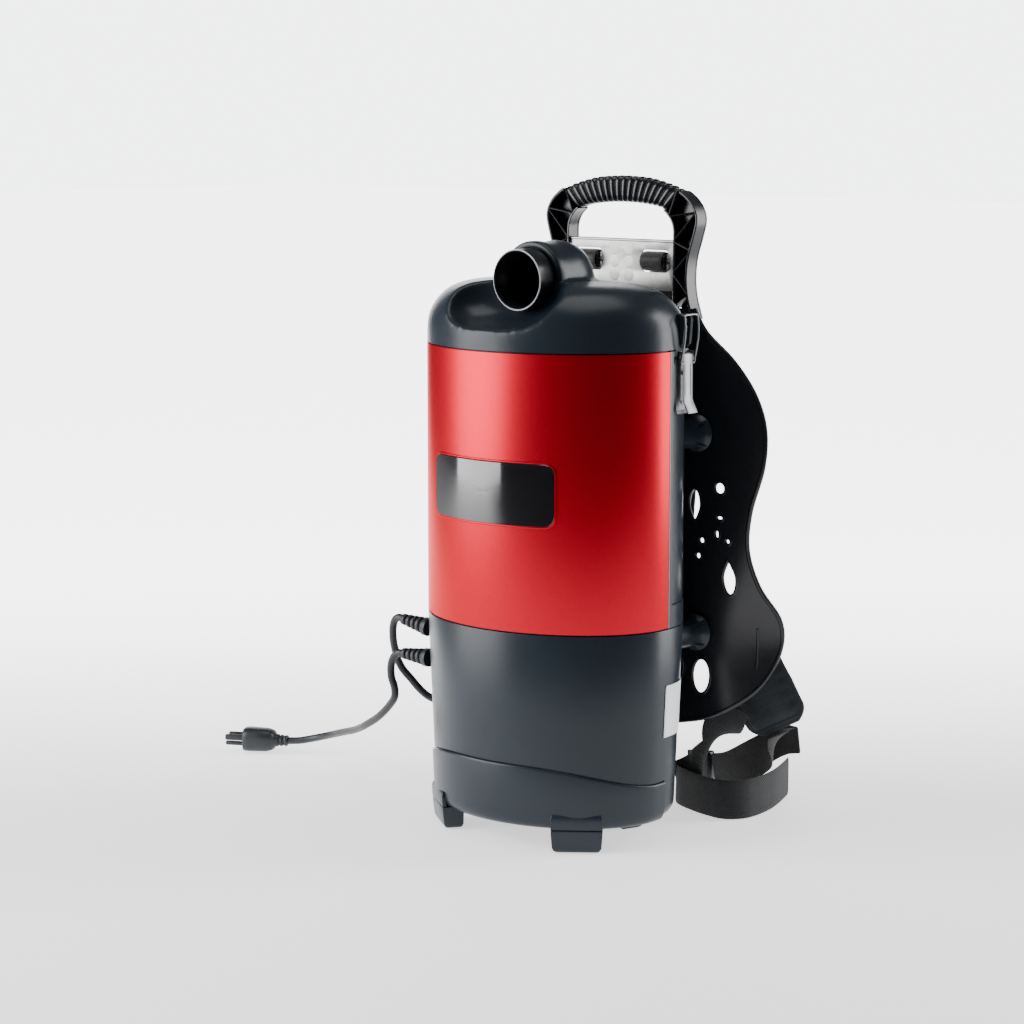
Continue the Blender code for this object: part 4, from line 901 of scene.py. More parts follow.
def lid():
    """Dome, scoop and hump run into each other with soft fillets; the rim and bore stay crisp."""
    shell = dome("lid_shell", 0.0, SEAM_HIGH - 0.01)
    boolean(shell, scoop("scoop", 0.0))
    boolean(shell, hump("hump", 0.0004, COLLAR_FRONT_Y), "UNION")
    melt = shell.modifiers.new("melt", "REMESH")
    melt.mode = "VOXEL"
    melt.voxel_size = 0.0018
    soft = shell.modifiers.new("soft", "SMOOTH")
    soft.factor = 0.5
    soft.iterations = 30
    finer = shell.modifiers.new("finer", "SUBSURF")
    finer.levels = finer.render_levels = 1
    apply_modifiers(shell)
    hollow = dome("lid_hollow", 0.0032, 0.42)
    boolean(hollow, scoop("scoop_back", 0.0032))
    boolean(hollow, hump("hump_hollow", -0.0032, -0.018), "UNION")
    boolean(shell, hollow)
    boolean(shell, turned("inlet_bore", [(0.0, 0.04), (INLET_R + 0.0004, 0.04), (INLET_R + 0.0004, -0.02),
                                         (0.0, -0.02)],
                          None, (0.0, -0.03, INLET_Z), (math.pi / 2, 0.0, 0.0), steps=96))
    boolean(shell, rounded_box("below", (-0.2, -0.2, 0.4), (0.2, 0.2, SEAM_HIGH + GAP), 0.001, None))
    shell.data.shade_smooth()
    shell.data.set_sharp_from_angle(angle=math.radians(45))
    shell.data.materials.clear()
    shell.data.materials.append(SLATE)
    parts = [shell]
    inner, outer = INLET_R + 0.0006, COLLAR_R + 0.0016
    lip = [(outer, 0.0225), (outer, 0.03), (outer - 0.0005, 0.0312), (outer - 0.0018, 0.032),
           (inner + 0.0012, 0.032), (inner, 0.0312), (inner, 0.0225)]
    parts.append(turned("collar", lip, SLATE, (0.0, 0.0, INLET_Z), (math.pi / 2, 0.0, 0.0), 96, True, 50.0))
    for side, hand in SIDES:
        for y in (LATCH_Y - 0.0048, LATCH_Y + 0.0048):
            rows = []
            for z, x in ((0.4595, 0.128), (0.4625, 0.1306), (0.48, 0.1322), (0.485, 0.1328), (0.4878, 0.1312),
                         (0.4895, 0.127)):
                rows.append([(side * 0.118, y - 0.0019, z), (side * x, y - 0.0019, z),
                             (side * x, y + 0.0019, z), (side * 0.118, y + 0.0019, z)])
            parts.append(beveled(loft(f"keeper_{hand}_{y:.3f}", rows, SLATE), 0.0005))
        web = [[(side * 0.118, LATCH_Y - 0.004, z), (side * x, LATCH_Y - 0.004, z),
                (side * x, LATCH_Y + 0.004, z), (side * 0.118, LATCH_Y + 0.004, z)] for z,
               x in ((0.46, 0.127), (0.47, 0.1292), (0.479, 0.1302))]
        parts.append(beveled(loft(f"keeper_web_{hand}", web, SLATE), 0.0005))
    place(join("lid_dome", parts), "lid", "lid")


def gasket():
    section = [(WALL + 0.0004, 0.4524), (WALL + 0.001, 0.452), (0.0068, 0.452), (0.0075, 0.453),
               (0.006, 0.456), (0.0075, 0.459), (0.0075, 0.4632), (0.0068, 0.464), (WALL + 0.001, 0.464),
               (WALL + 0.0004, 0.4634)]
    seal = sweep("seal", lambda a: section, ring_angles((), 160), RUBBER, closed=True)
    place(seal, "lid", "lid_gasket")


def intake():
    """The swivelling tube: a slim lip at the mouth, a bead before the collar and two notches inside."""
    reach, bore = -INLET_MOUTH_Y, INLET_R - 0.0025
    profile = [(bore + 0.0009, reach - 0.0002), (INLET_R - 0.0009, reach), (INLET_R - 0.0002, reach - 0.0004),
               (INLET_R, reach - 0.0012), (INLET_R, 0.0355), (INLET_R + 0.0003, 0.035),
               (INLET_R + 0.0003, 0.0335), (INLET_R, 0.033), (INLET_R, 0.006), (bore, 0.006),
               (bore, reach - 0.012), (bore + 0.0004, reach - 0.0116), (bore + 0.0004, reach - 0.0012)]
    at, turn = (0.0, 0.0, INLET_Z), (math.pi / 2, 0.0, 0.0)
    tube = turned("intake_tube", profile, BLACK, at, turn, 128, True, 45.0)
    place(tube, "inlet_tube", "inlet_tube")
    # A pale ring round the mouth's rim: a painted highlight.
    rim = [(INLET_R - 0.0006 + 0.0006 * math.cos(math.tau * i / 10),
            reach - 0.0005 + 0.0006 * math.sin(math.tau * i / 10))
           for i in range(10)]
    place(turned("intake_lip", rim[::-1], PAINTED_HIGHLIGHT, at, turn, 128, True), "inlet_tube")


# ---------------------------------------------------------------- latches
def latch(side, hand):
    floor_x = outline(back_angle(LATCH_Y))[0] - 0.0022 + GAP
    half = 0.007

    def block(name, x0, x1, y0, y1, z0, z1, radius=0.0003):
        low, high = sorted((side * x0, side * x1))
        return rounded_box(name, (low, LATCH_Y + y0, z0), (high, LATCH_Y + y1, z1), radius, NICKEL, 2)
    parts = [block("base", floor_x, floor_x + 0.0014, -0.009, 0.009, 0.402, 0.456, 0.0005)]
    for sign in (-1, 1):
        y = sign * 0.0083
        parts.append(block("ear", floor_x + 0.0004, 0.1322, y - 0.0007, y + 0.0007, 0.4478, 0.4562))
    parts.append(turned("pin", [(0.0, 0.0096), (0.0013, 0.0096), (0.0018, 0.0092), (0.0018, 0.009),
                                (0.0014, 0.0089), (0.0014, -0.0089), (0.0018, -0.009), (0.0018, -0.0092),
                                (0.0013, -0.0096), (0.0, -0.0096)],
                        NICKEL, (side * PIVOT_X, LATCH_Y, PIVOT_Z), (math.pi / 2, 0.0, 0.0), steps=24))
    for z in (0.409, 0.436):
        parts.append(ball("rivet", (side * (floor_x + 0.0013), LATCH_Y, z), (0.001, 0.0024, 0.0024), 24, 12))
        parts[-1].data.materials.append(NICKEL)
    place(join(f"latch_plate_{hand}", parts, NICKEL), "frame", f"latch_base_{hand}")

    curl = [(PIVOT_X + 0.0024 * math.cos(math.radians(t)), PIVOT_Z + 0.0024 * math.sin(math.radians(t)))
            for t in range(200, 9, -19)]
    centre = [Vector((x, 0.0, z)) for x, z in curl + [(0.1314, 0.449), (0.1316, 0.44), (0.1316, 0.424),
                                                      (0.1318, 0.4128), (0.133, 0.4095), (0.1346, 0.4065),
                                                      (0.1378, 0.4)]]
    rows = []
    for i, point in enumerate(centre):
        run = (centre[min(i + 1, len(centre) - 1)] - centre[max(i - 1, 0)]).normalized()
        out = Vector((-run.z, 0.0, run.x)) * 0.0006
        rows.append([(side * (point + out * s).x, LATCH_Y + y, (point + out * s).z)
                     for s, y in ((1, half), (1, -half), (-1, -half), (-1, half))])
    lever = beveled(loft(f"lever_{hand}", rows, NICKEL), 0.00025, 2, 60.0)
    ribs = []
    for y in (-0.0042, 0.0042):
        ribs.append(rounded_box("rib", (0.1318 * side - 0.0004, LATCH_Y + y - 0.0009, 0.416),
                                (0.1318 * side + 0.0004, LATCH_Y + y + 0.0009, 0.444), 0.0003, NICKEL, 2))
        ribs[-1].data.transform(Matrix.Translation((side * 0.0004, 0.0, 0.0)))
    place(join(f"lever_{hand}_strip", [lever] + ribs, NICKEL), f"latch_lever_{hand}",
          f"latch_lever_{hand}")

    arm = 0.01
    leg = [(0.1314, half + GAP, 0.445), (0.1314, arm - 0.0012, 0.445), (0.1316, arm - 0.0002, 0.4458),
           (0.1324, arm, 0.45), (0.134, arm, 0.458), (0.1356, arm, 0.468), (0.1359, arm, 0.4775),
           (0.1353, arm, 0.485), (0.1348, arm - 0.0004, 0.4884), (0.1346, arm - 0.002, 0.489)]
    points = [Vector((side * x, LATCH_Y + y, z)) for x, y, z in leg]
    points += [Vector((side * x, LATCH_Y - y, z)) for x, y, z in leg[::-1]]
    bail = rod(f"bail_{hand}", smooth_path(points, 110), 0.0009, NICKEL, sides=10)
    place(bail, f"latch_bail_{hand}", f"latch_bail_{hand}")


# ---------------------------------------------------------------- harness plate, handle and bracket
def wing_y(x, z):
    hip = math.exp(-((z - 0.175) / 0.075) ** 2)
    reach = max(0.0, abs(x) - 0.055)
    return PLATE_Y + (0.9 + 1.9 * hip) * reach ** 2


# Height and half-width of the plate, from its lower edge to the foot of the handle.
PLATE_EDGE = ((0.09, 0.06), (0.103, 0.11), (0.13, 0.149), (0.165, 0.165), (0.196, 0.166), (0.228, 0.151),
              (0.265, 0.143), (0.3, 0.147), (0.345, 0.16), (0.38, 0.161), (0.41, 0.151), (0.44, 0.129),
              (0.468, 0.098), (0.488, 0.086))

# Centre x, centre z, width, height and tip of each hole in the plate's right half.
PLATE_HOLES = ((0.089, 0.303, 0.013, 0.032, -1), (0.116, 0.321, 0.011, 0.012, 0),
               (0.116, 0.293, 0.007, 0.005, 0), (0.113, 0.277, 0.005, 0.009, 0),
               (0.124, 0.271, 0.005, 0.006, 0), (0.097, 0.27, 0.006, 0.007, 0),
               (0.093, 0.255, 0.006, 0.007, 0), (0.124, 0.236, 0.013, 0.034, 1),
               (0.096, 0.139, 0.018, 0.034, 0), (0.072, 0.146, 0.013, 0.026, 0))


def drop(centre, width, height, tip, grow=0.0, steps=40):
    points = []
    for i in range(steps):
        t = math.tau * (i + 0.5) / steps
        squeeze = 1.0 - 0.62 * max(0.0, tip * math.sin(t)) ** 1.4
        points.append((centre[0] + (width / 2 + grow) * math.cos(t) * squeeze,
                       centre[1] + (height / 2 + grow) * math.sin(t)))
    return points


def on_plate(x, z, behind=0.0):
    return Vector((x, wing_y(x, z) + behind, z))


def plate():
    """The moulded plate: swept wings, a rolled rim round its edge and every hole, and faint ribs."""
    edge = smooth_path([(w, 0.0, z) for z, w in PLATE_EDGE], 90)
    columns = 56
    rows = []
    for point in edge:
        xs = [point.x * math.sin(math.pi * (i / columns - 0.5)) for i in range(columns + 1)]
        front = [on_plate(x, point.z) for x in xs]
        rows.append(front + [p + Vector((0.0, PLATE_THICK, 0.0)) for p in front[::-1]])
    body = loft("plate_body", rows, BLACK)
    middle = PLATE_THICK / 2
    for x, z, width, height, tip in PLATE_HOLES:
        for side in (-1, 1):
            shape = drop((side * x, z), width, height, tip)
            boolean(body, loft("hole", [[(px, PLATE_Y + y, pz) for px, pz in shape] for y in (-0.02, 0.06)],
                               None))
    body.data.shade_smooth()
    body.data.set_sharp_from_angle(angle=math.radians(40))
    body.data.materials.clear()
    body.data.materials.append(BLACK)
    parts = [body]
    for x, z, width, height, tip in PLATE_HOLES:
        for side in (-1, 1):
            loop = [on_plate(px, pz, middle) for px, pz in drop((side * x, z), width, height, tip, 0.0007)]
            parts.append(rod("hole_rim", loop, 0.002, BLACK, sides=10, cyclic=True))
    right = [on_plate(p.x, p.z, middle) for p in edge]
    left = [Vector((-p.x, p.y, p.z)) for p in right]
    parts.append(rod("edge_rim", left[::-1] + right, 0.0024, BLACK, sides=12))
    for side in (-1, 1):
        for x, z0, z1 in ((0.148, 0.15, 0.188), (0.073, 0.175, 0.48), (0.06, 0.11, 0.48)):
            line = [on_plate(side * x, z0 + (z1 - z0) * i / 30, -0.0006) for i in range(31)]
            parts.append(rod("stiffener", line, 0.0013, BLACK, sides=8))
    return parts


def arc(centre, radii, start, stop, steps):
    points = []
    for i in range(steps + 1):
        t = math.radians(start + (stop - start) * i / steps)
        points.append((centre[0] + radii[0] * math.cos(t), centre[1] + radii[1] * math.sin(t)))
    return points


def handle_half_lines():
    """Right half of the handle's outer and inner outline, from the foot to the middle of the grip."""
    outer = [(0.0865, 0.478), (0.08, 0.5), (0.0785, 0.518), (0.0805, 0.535), (0.086, 0.553)]
    outer += arc((0.03, 0.57), (0.06, 0.036), 0, 65, 5) + [(0.03, 0.6085), (0.0, HANDLE_TOP - 0.0006)]
    inner = [(GRIP_HALF, 0.488), (GRIP_HALF, 0.52), (GRIP_HALF, 0.553)]
    inner += arc((0.036, 0.558), (0.026, 0.024), 10, 80, 4) + [(0.018, 0.5843), (0.0, 0.585)]
    make = (smooth_path([(x, 0.0, z) for x, z in line], 60) for line in (outer, inner))
    return [[(p.x, p.z) for p in line] for line in make]


def wall_along(name, line, thickness, y0, y1):
    """An upright wall of the handle along a line of (x, z) points, thickness to its left."""
    rows = []
    for i, (x, z) in enumerate(line):
        ahead, behind = line[min(i + 1, len(line) - 1)], line[max(i - 1, 0)]
        run = Vector((ahead[0] - behind[0], ahead[1] - behind[1])).normalized()
        nx, nz = -run.y * thickness, run.x * thickness
        soft = min(0.0005, abs(thickness) * 0.3)
        rows.append([(x, y0 + soft, z), (x + nx * 0.25, y0, z + nz * 0.25),
                     (x + nx * 0.75, y0, z + nz * 0.75), (x + nx, y0 + soft, z + nz), (x + nx, y1, z + nz),
                     (x, y1, z)])
    return loft(name, rows, BLACK)


def handle():
    """The carrying handle: open-fronted legs with zig-zag ribs, and a ribbed grip."""
    outer, inner = handle_half_lines()
    y0, y1 = PLATE_Y, PLATE_Y + HANDLE_DEPTH
    parts = []
    for side in (-1, 1):
        out_leg, in_leg = ([(side * x, z) for x, z in line[:GRIP_FROM + 1]] for line in (outer, inner))
        parts.append(wall_along("outer_wall", out_leg, side * 0.0026, y0, y1))
        parts.append(wall_along("inner_wall", in_leg, side * -0.0024, y0, y1))
        # A pale line along the outer edge of each leg: a painted highlight.
        edge = [Vector((x - side * 0.0006, y0 + 0.0004, z)) for x, z in out_leg]
        parts.append(rod("worn_edge", edge, 0.0006, PAINTED_HIGHLIGHT, sides=8))
        web = []
        for (ox, oz), (ix, iz) in zip(out_leg, in_leg):
            web.append([(ox, y1 - 0.003, oz), (ix, y1 - 0.003, iz), (ix, y1, iz), (ox, y1, oz)])
        parts.append(loft("web", web, BLACK))
    for side in (-1, 1):
        for k, (low, high) in enumerate(zip(TRUSS, TRUSS[1:])):
            a, b = (Vector((side * line[i][0], 0.0, line[i][1]))
                    for line, i in ((outer if k % 2 else inner, low), (inner if k % 2 else outer, high)))
            a, b = a.lerp(b, 0.05), b.lerp(a, 0.05)
            flank = (b - a).cross(Vector((0.0, 1.0, 0.0))).normalized() * 0.0008
            crest = ((-1, y1), (-1, y0 + 0.0008), (-0.5, y0 + 0.0002), (0.5, y0 + 0.0002), (1, y0 + 0.0008),
                     (1, y1))
            rows = [[end + flank * s + Vector((0.0, y, 0.0)) for s, y in crest] for end in (a, b)]
            parts.append(loft("truss", rows, BLACK))
            # A pale line along the tip of each rib: a painted highlight.
            tip = Vector((0.0, y0 + 0.0002, 0.0))
            parts.append(rod("worn_edge", [a + tip, b + tip], 0.0007, PAINTED_HIGHLIGHT, sides=6))
    return parts + grip(outer, inner)


TRUSS = (0, 7, 13, 19, 25, 30, 35, 39)
GRIP_FROM = 38    # where the grip starts along each half outline


def grip(outer, inner):
    """The closed grip between the legs: rounded ribs across it, with a pale line painted in each groove as a
    highlight.
    """
    ribs, per_rib, sides = 18, 8, 28
    tops, feet_ = outer[GRIP_FROM:], inner[GRIP_FROM:]
    tops += [(-x, z) for x, z in tops[-2::-1]]
    feet_ += [(-x, z) for x, z in feet_[-2::-1]]
    steps = ribs * per_rib
    rows, parts = [], []
    for i in range(steps + 1):
        spot = (len(tops) - 1) * i / steps
        k = min(int(spot), len(tops) - 2)
        top = Vector(tops[k]).lerp(Vector(tops[k + 1]), spot - k)
        foot = Vector(feet_[k]).lerp(Vector(feet_[k + 1]), spot - k)
        wave = 0.5 - 0.5 * math.cos(math.tau * i / per_rib)
        swell = -0.0016 * (1.0 - wave) ** 2
        middle, reach = (top + foot) / 2, (top - foot) / 2
        reach = reach.normalized() * (reach.length + swell)
        half_y = HANDLE_DEPTH / 2 + 0.0006 + swell
        row = []
        for k in range(sides):
            t = math.tau * k / sides
            c, sn = math.cos(t), math.sin(t)
            dy = math.copysign(abs(c) ** 0.62, c) * half_y
            rise = math.copysign(abs(sn) ** 0.62, sn)
            row.append(Vector((middle.x + reach.x * rise, PLATE_Y + HANDLE_DEPTH / 2 + dy,
                               middle.y + reach.y * rise)))
        rows.append(row)
        # A pale ring in each groove: a painted highlight.
        if i % per_rib == 0 and 0 < i < steps:
            parts.append(rod("groove", row, 0.0005, PAINTED_HIGHLIGHT, sides=6, cyclic=True))
    return [loft("grip", rows, BLACK, angle=60.0)] + parts


def rounded_rect(x0, x1, z0, z1, radius, steps=8):
    points = []
    for cx, cz, start in ((x1 - radius, z1 - radius, 0), (x0 + radius, z1 - radius, 90),
                          (x0 + radius, z0 + radius, 180), (x1 - radius, z0 + radius, 270)):
        points += arc((cx, cz), (radius, radius), start, start + 90, steps)
    return points


def bracket():
    """Zinc-plated sheet with a rolled top edge, round-cornered strap slots and pressed round marks."""
    low, high, half = 0.503, 0.551, GRIP_HALF - GAP
    x0, x1, z0, z1 = SLOT
    y0, y1 = PLATE_Y + 0.003, PLATE_Y + 0.005
    face = rounded_rect(-half, half, low, high - 0.001, 0.0015)
    sheet = loft("sheet", [[(x, y, z) for x, z in face] for y in (y0, y1)], ZINC)
    for side in (-1, 1):
        low_x, high_x = sorted((side * x0, side * x1))
        slot = rounded_rect(low_x, high_x, z0, z1, 0.0035)
        boolean(sheet, loft("slot", [[(x, y, z) for x, z in slot] for y in (y0 - 0.01, y1 + 0.01)], None))
    sheet.data.materials.clear()
    sheet.data.materials.append(ZINC)
    parts = [beveled(sheet, 0.0004, 2, 50.0)]
    edge = [Vector((x, y0 + 0.001, high - 0.0016)) for x in (-half, half)]
    parts.append(rod("rolled_edge", edge,
                     0.0016, ZINC, sides=16))
    for x in (-0.0085, 0.0085):
        for z in (0.5165, 0.529, 0.5415):
            parts.append(ball("mark", (x, y0, z), (0.0058, 0.00022, 0.0058), 48, 16))
            parts[-1].data.materials.append(ZINC)
    for side in (-1, 1):
        parts.append(turned("pin", [(0.0, 0.017), (0.002, 0.017), (0.002, -0.017), (0.0, -0.017)], ZINC,
                            (side * (x0 + x1) / 2, y0 + 0.001, (z0 + z1) / 2), (0.0, math.pi / 2, 0.0),
                            steps=24))
    place(join("strap_bracket", parts, ZINC), "frame", "steel_bracket")


def roller(side, hand):
    x0, x1, z0, z1 = SLOT
    centre = (side * (x0 + x1) / 2, PLATE_Y + 0.004, (z0 + z1) / 2)
    half = (x1 - x0) / 2 - 0.0015
    profile = [(ROLLER_R - 0.0008, half), (ROLLER_R - 0.0002, half - 0.0003), (ROLLER_R, half - 0.0009),
               (ROLLER_R, -half + 0.0009), (ROLLER_R - 0.0002, -half + 0.0003), (ROLLER_R - 0.0008, -half),
               (0.0024, -half), (0.0024, half)]
    piece = turned(f"roller_{hand}", profile, BLACK, centre, (0.0, math.pi / 2, 0.0), 64, True, 45.0)
    place(piece, f"strap_roller_{hand}", f"strap_roller_{hand}")


# ---------------------------------------------------------------- straps and pads
UP = (0.0, 0.0, 1.0)
ACROSS = (1.0, 0.0, 0.0)
DOWN_SIDES = [(0.75, 0.0, 0.55), (0.5, 0.0, 0.85), UP, UP, UP, UP]


def framed(centre, sides):
    """Each point of a path, with its share of the way, the run to it, its side and its normal."""
    last = len(centre) - 1
    run = 0.0
    for i, point in enumerate(centre):
        share = i / last
        if i:
            run += (point - centre[i - 1]).length
        tangent = (centre[min(i + 1, last)] - centre[max(i - 1, 0)]).normalized()
        side = along([Vector(s) for s in sides], share)
        side = (side - tangent * side.dot(tangent)).normalized()
        yield share, run, point, side, tangent.cross(side)


def both_faces(across):
    """(face, t) round a flat strip: t from -1 to 1 on its upper face, then back on its lower one."""
    for face in (1, -1):
        for k in (range(across + 1) if face > 0 else range(across, -1, -1)):
            yield face, 2.0 * k / across - 1.0


def flat_shell(name, bm, uv, grid, place_of, mat, angle, mesh_from=0.0):
    """Closes the rows of a flat piece, with UVs in metres. Slot 1 is used up to mesh_from of its length."""
    size, last = len(grid[0]), len(grid) - 1
    for i, (a, b) in enumerate(zip(grid, grid[1:])):
        for k in range(size):
            face = bm.faces.new((a[k], a[(k + 1) % size], b[(k + 1) % size], b[k]))
            face.material_index = 1 if i / last < mesh_from else 0
    bm.faces.new(grid[0][::-1])
    bm.faces.new(grid[-1])
    for face in bm.faces:
        for loop in face.loops:
            loop[uv].uv = place_of[loop.vert]
    return from_bm(name, bm, mat, angle)


def strap(name, replaces, route, sides, widths, mat, count=80):
    """A thin closed strap of webbing along a route, in the place of a CAD node."""
    bm = bmesh.new()
    uv = bm.loops.layers.uv.new("UVMap")
    grid, place_of = [], {}
    for share, run, point, side, normal in framed(smooth_path(route, count), sides):
        width = along(widths, share)
        row = []
        for face, t in both_faces(14):
            edge = (1.0 - t ** 8) ** 0.5 if abs(t) < 1 else 0.0
            lift = WEBBING_THICK / 2 * max(edge, 0.12)
            spot = bm.verts.new(point + side * (width / 2 * t) + normal * lift * face)
            place_of[spot] = (run, width / 2 * t)
            row.append(spot)
        grid.append(row)
    place(flat_shell(name, bm, uv, grid, place_of, mat, 50.0), "frame", replaces)


def pad(name, route, sides, widths, thickness, mesh_from):
    """A sewn pad: a puffed middle between a bound edge and a seam, mesh up to mesh_from of its length."""
    count, across = ((150, 56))
    centre = smooth_path(route, count)
    length = path_length(centre)
    bm = bmesh.new()
    uv = bm.loops.layers.uv.new("UVMap")
    grid, place_of = [], {}
    for share, run, point, side, normal in framed(centre, sides):
        end = min(share, 1.0 - share) * length
        closing = min(1.0, end / 0.016)
        rounded = 1.0 - (1.0 - closing) ** 2.4
        width = along(widths, share) * (0.62 + 0.38 * rounded)
        row = []
        for face, t in both_faces(across):
            rim = min((1.0 - abs(t)) * width / 2, end + 0.0004)
            bound = 0.0016 + 0.0008 * min(1.0, rim / 0.0015)
            seam = math.exp(-((rim - 0.0075) / 0.0014) ** 2)
            puff = (thickness / 2 - 0.0024) * min(1.0, max(0.0, rim - 0.0045) / 0.013) ** 0.6
            ripple = 0.00035 * math.sin(run * 520.0) * math.exp(-((rim - 0.009) / 0.006) ** 2)
            wander = 0.0011 * noise.noise((point + side * (width / 2 * t)) * 38.0)
            lift = max(0.0004, bound * (1.0 if rim > 0.0003 else 0.35) + puff * (1.0 - 0.5 * seam)
                       + ripple + wander * min(1.0, rim / 0.012))
            spot = bm.verts.new(point + side * (width / 2 * t) + normal * lift * face)
            place_of[spot] = (run, width / 2 * t)
            row.append(spot)
        grid.append(row)
    obj = flat_shell(name, bm, uv, grid, place_of, PAD, 60.0, mesh_from)
    obj.data.materials.append(MESH)
    place(obj, "frame", name.replace("_cover", ""))


def mirrored(route, side):
    return [(side * x, y, z) for x, y, z in route]


def shoulder_set(side, hand):
    """Webbing from the pad up round the roller, the pad, and webbing with its adjuster down to the wing."""
    x, y0, z0 = side * 0.0395, PLATE_Y + 0.004, 0.5305
    radius = ROLLER_R + WEBBING_THICK / 2 + 0.0003
    turns = [math.radians(20 + 28 * i) for i in range(11)]
    loop = [(x, 0.1258, 0.4745), (x, 0.1262, 0.5), (x, 0.1225, 0.524)]
    loop += [(x, y0 + radius * math.cos(t), z0 + radius * math.sin(t)) for t in turns]
    loop += [(x, 0.1135, 0.519), (x, 0.1175, 0.512)]
    strap(f"shoulder_loop_{hand}_strap", f"shoulder_loop_{hand}", loop, [ACROSS], [0.0255], SATIN, 120)
    route = [(x, 0.1262, 0.473), (x, 0.1268, 0.445), (x * 1.02, 0.1275, 0.4), (x * 1.05, 0.128, 0.32),
             (x * 1.1, 0.127, 0.255), (x * 1.18, 0.124, 0.215)]
    pad(f"shoulder_pad_{hand}_cover", route, [ACROSS], [0.03, 0.06, 0.064, 0.062, 0.052, 0.03], 0.012, 0.0)
    route = [(x * 1.18, 0.1235, 0.2135), (x * 1.28, 0.121, 0.19), (x * 1.42, 0.117, 0.15),
             (x * 1.55, 0.1125, 0.112)]
    strap(f"shoulder_webbing_{hand}_strap", f"shoulder_webbing_{hand}", route, [ACROSS], [0.0255], WEB, 60)
    adjuster(side * 0.053, f"adjuster_{hand}", f"strap_adjuster_{hand}")


def adjuster(x, name, replaces):
    outline_ = rounded_rect(x - 0.016, x + 0.016, 0.16, 0.184, 0.004)
    body = loft(name, [[(px, y, pz) for px, pz in outline_] for y in (0.1225, 0.1255)], BLACK)
    for z0, z1 in ((0.174, 0.18), (0.164, 0.17)):
        slot = rounded_rect(x - 0.0125, x + 0.0125, z0, z1, 0.0015)
        boolean(body, loft("slot", [[(px, y, pz) for px, pz in slot] for y in (0.11, 0.14)], None))
    body.data.materials.clear()
    body.data.materials.append(BLACK)
    place(beveled(body, 0.0006), "frame", replaces)


def belt(side, hand):
    """Hip pad, the webbing down to the buckle, its loose tail, and the strap looped on the floor."""
    route = mirrored([(0.156, 0.156, 0.088), (0.142, 0.15, 0.115), (0.126, 0.144, 0.15), (0.113, 0.142, 0.2)],
                     side)
    lean = [(side * 0.85, 0.0, 0.53), (side * 0.88, 0.0, 0.47), (side * 0.93, 0.0, 0.35)]
    pad(f"hip_pad_{hand}_cover", route, lean, [0.07, 0.074, 0.07, 0.06], 0.012, 0.3)
    route = mirrored([(0.1545, 0.159, 0.0825), (0.136, 0.166, 0.064), (0.104, 0.176, 0.044),
                      (0.072, 0.187, 0.027), (0.05, 0.195, 0.0205)], side)
    lean = [(side * 0.7, 0.0, 0.7), UP, UP]
    strap(f"belt_{hand}_run", f"belt_webbing_{hand}", route, lean, [WEBBING], WEB)
    route = mirrored([(0.05, 0.2075, 0.0205), (0.074, 0.212, 0.03), (0.1, 0.212, 0.05), (0.122, 0.208, 0.062),
                      (0.146, 0.2, 0.067)], side)
    tapered = [0.0304, 0.0304, 0.0304, 0.0304, 0.026]
    strap(f"belt_{hand}_tail", f"belt_tail_{hand}", route, [UP], tapered, WEB)
    route = mirrored([(0.122, 0.119, 0.112), (0.112, 0.1225, 0.092), (0.092, 0.128, 0.066),
                      (0.067, 0.137, 0.04), (0.048, 0.146, 0.024), (0.043, 0.142, 0.0198),
                      (0.052, 0.133, 0.0196), (0.072, 0.124, 0.0196), (0.096, 0.117, 0.0196),
                      (0.118, 0.116, 0.0196), (0.131, 0.129, 0.0196), (0.134, 0.148, 0.0196),
                      (0.13, 0.18, 0.0196), (0.121, 0.209, 0.0196), (0.112, 0.233, 0.0196)], side)
    down = [(side * x, y, z) for x, y, z in DOWN_SIDES]
    strap(f"plate_strap_{hand}_run", f"plate_strap_{hand}", route, down, [WEBBING], WEB, 150)


def buckles():
    """The two halves of the belt's side-release buckle, lying open behind the machine."""
    y, z = 0.201, 0.0205
    socket = rounded_box("socket", (-0.0435, y - 0.0055, z - 0.0195), (-0.0135, y + 0.0055, z + 0.0195),
                         0.003, BLACK, 4)
    boolean(socket, rounded_box("mouth", (-0.04, y - 0.003, z - 0.015), (0.0, y + 0.003, z + 0.015),
                                0.0008, None))
    for sign in (-1, 1):
        boolean(socket, rounded_box("side", (-0.03, y - 0.0045, z + sign * 0.017 - 0.006),
                                    (-0.018, y + 0.0045, z + sign * 0.017 + 0.006), 0.001, None))
    socket.data.materials.clear()
    socket.data.materials.append(BLACK)
    place(socket, "frame", "buckle_socket")
    parts = [rounded_box("tongue", (0.0135 + 0.014, y - 0.0055, z - 0.0195),
                         (0.0435, y + 0.0055, z + 0.0195), 0.003, BLACK, 4)]
    for offset in (-0.0145, 0.0, 0.0145):
        parts.append(rounded_box("prong", (0.014, y - 0.0028, z + offset - 0.0026),
                                 (0.03, y + 0.0028, z + offset + 0.0026),
                                 0.0012, BLACK, 3))
    place(join("buckle_prongs", parts), "frame", "buckle_tongue")


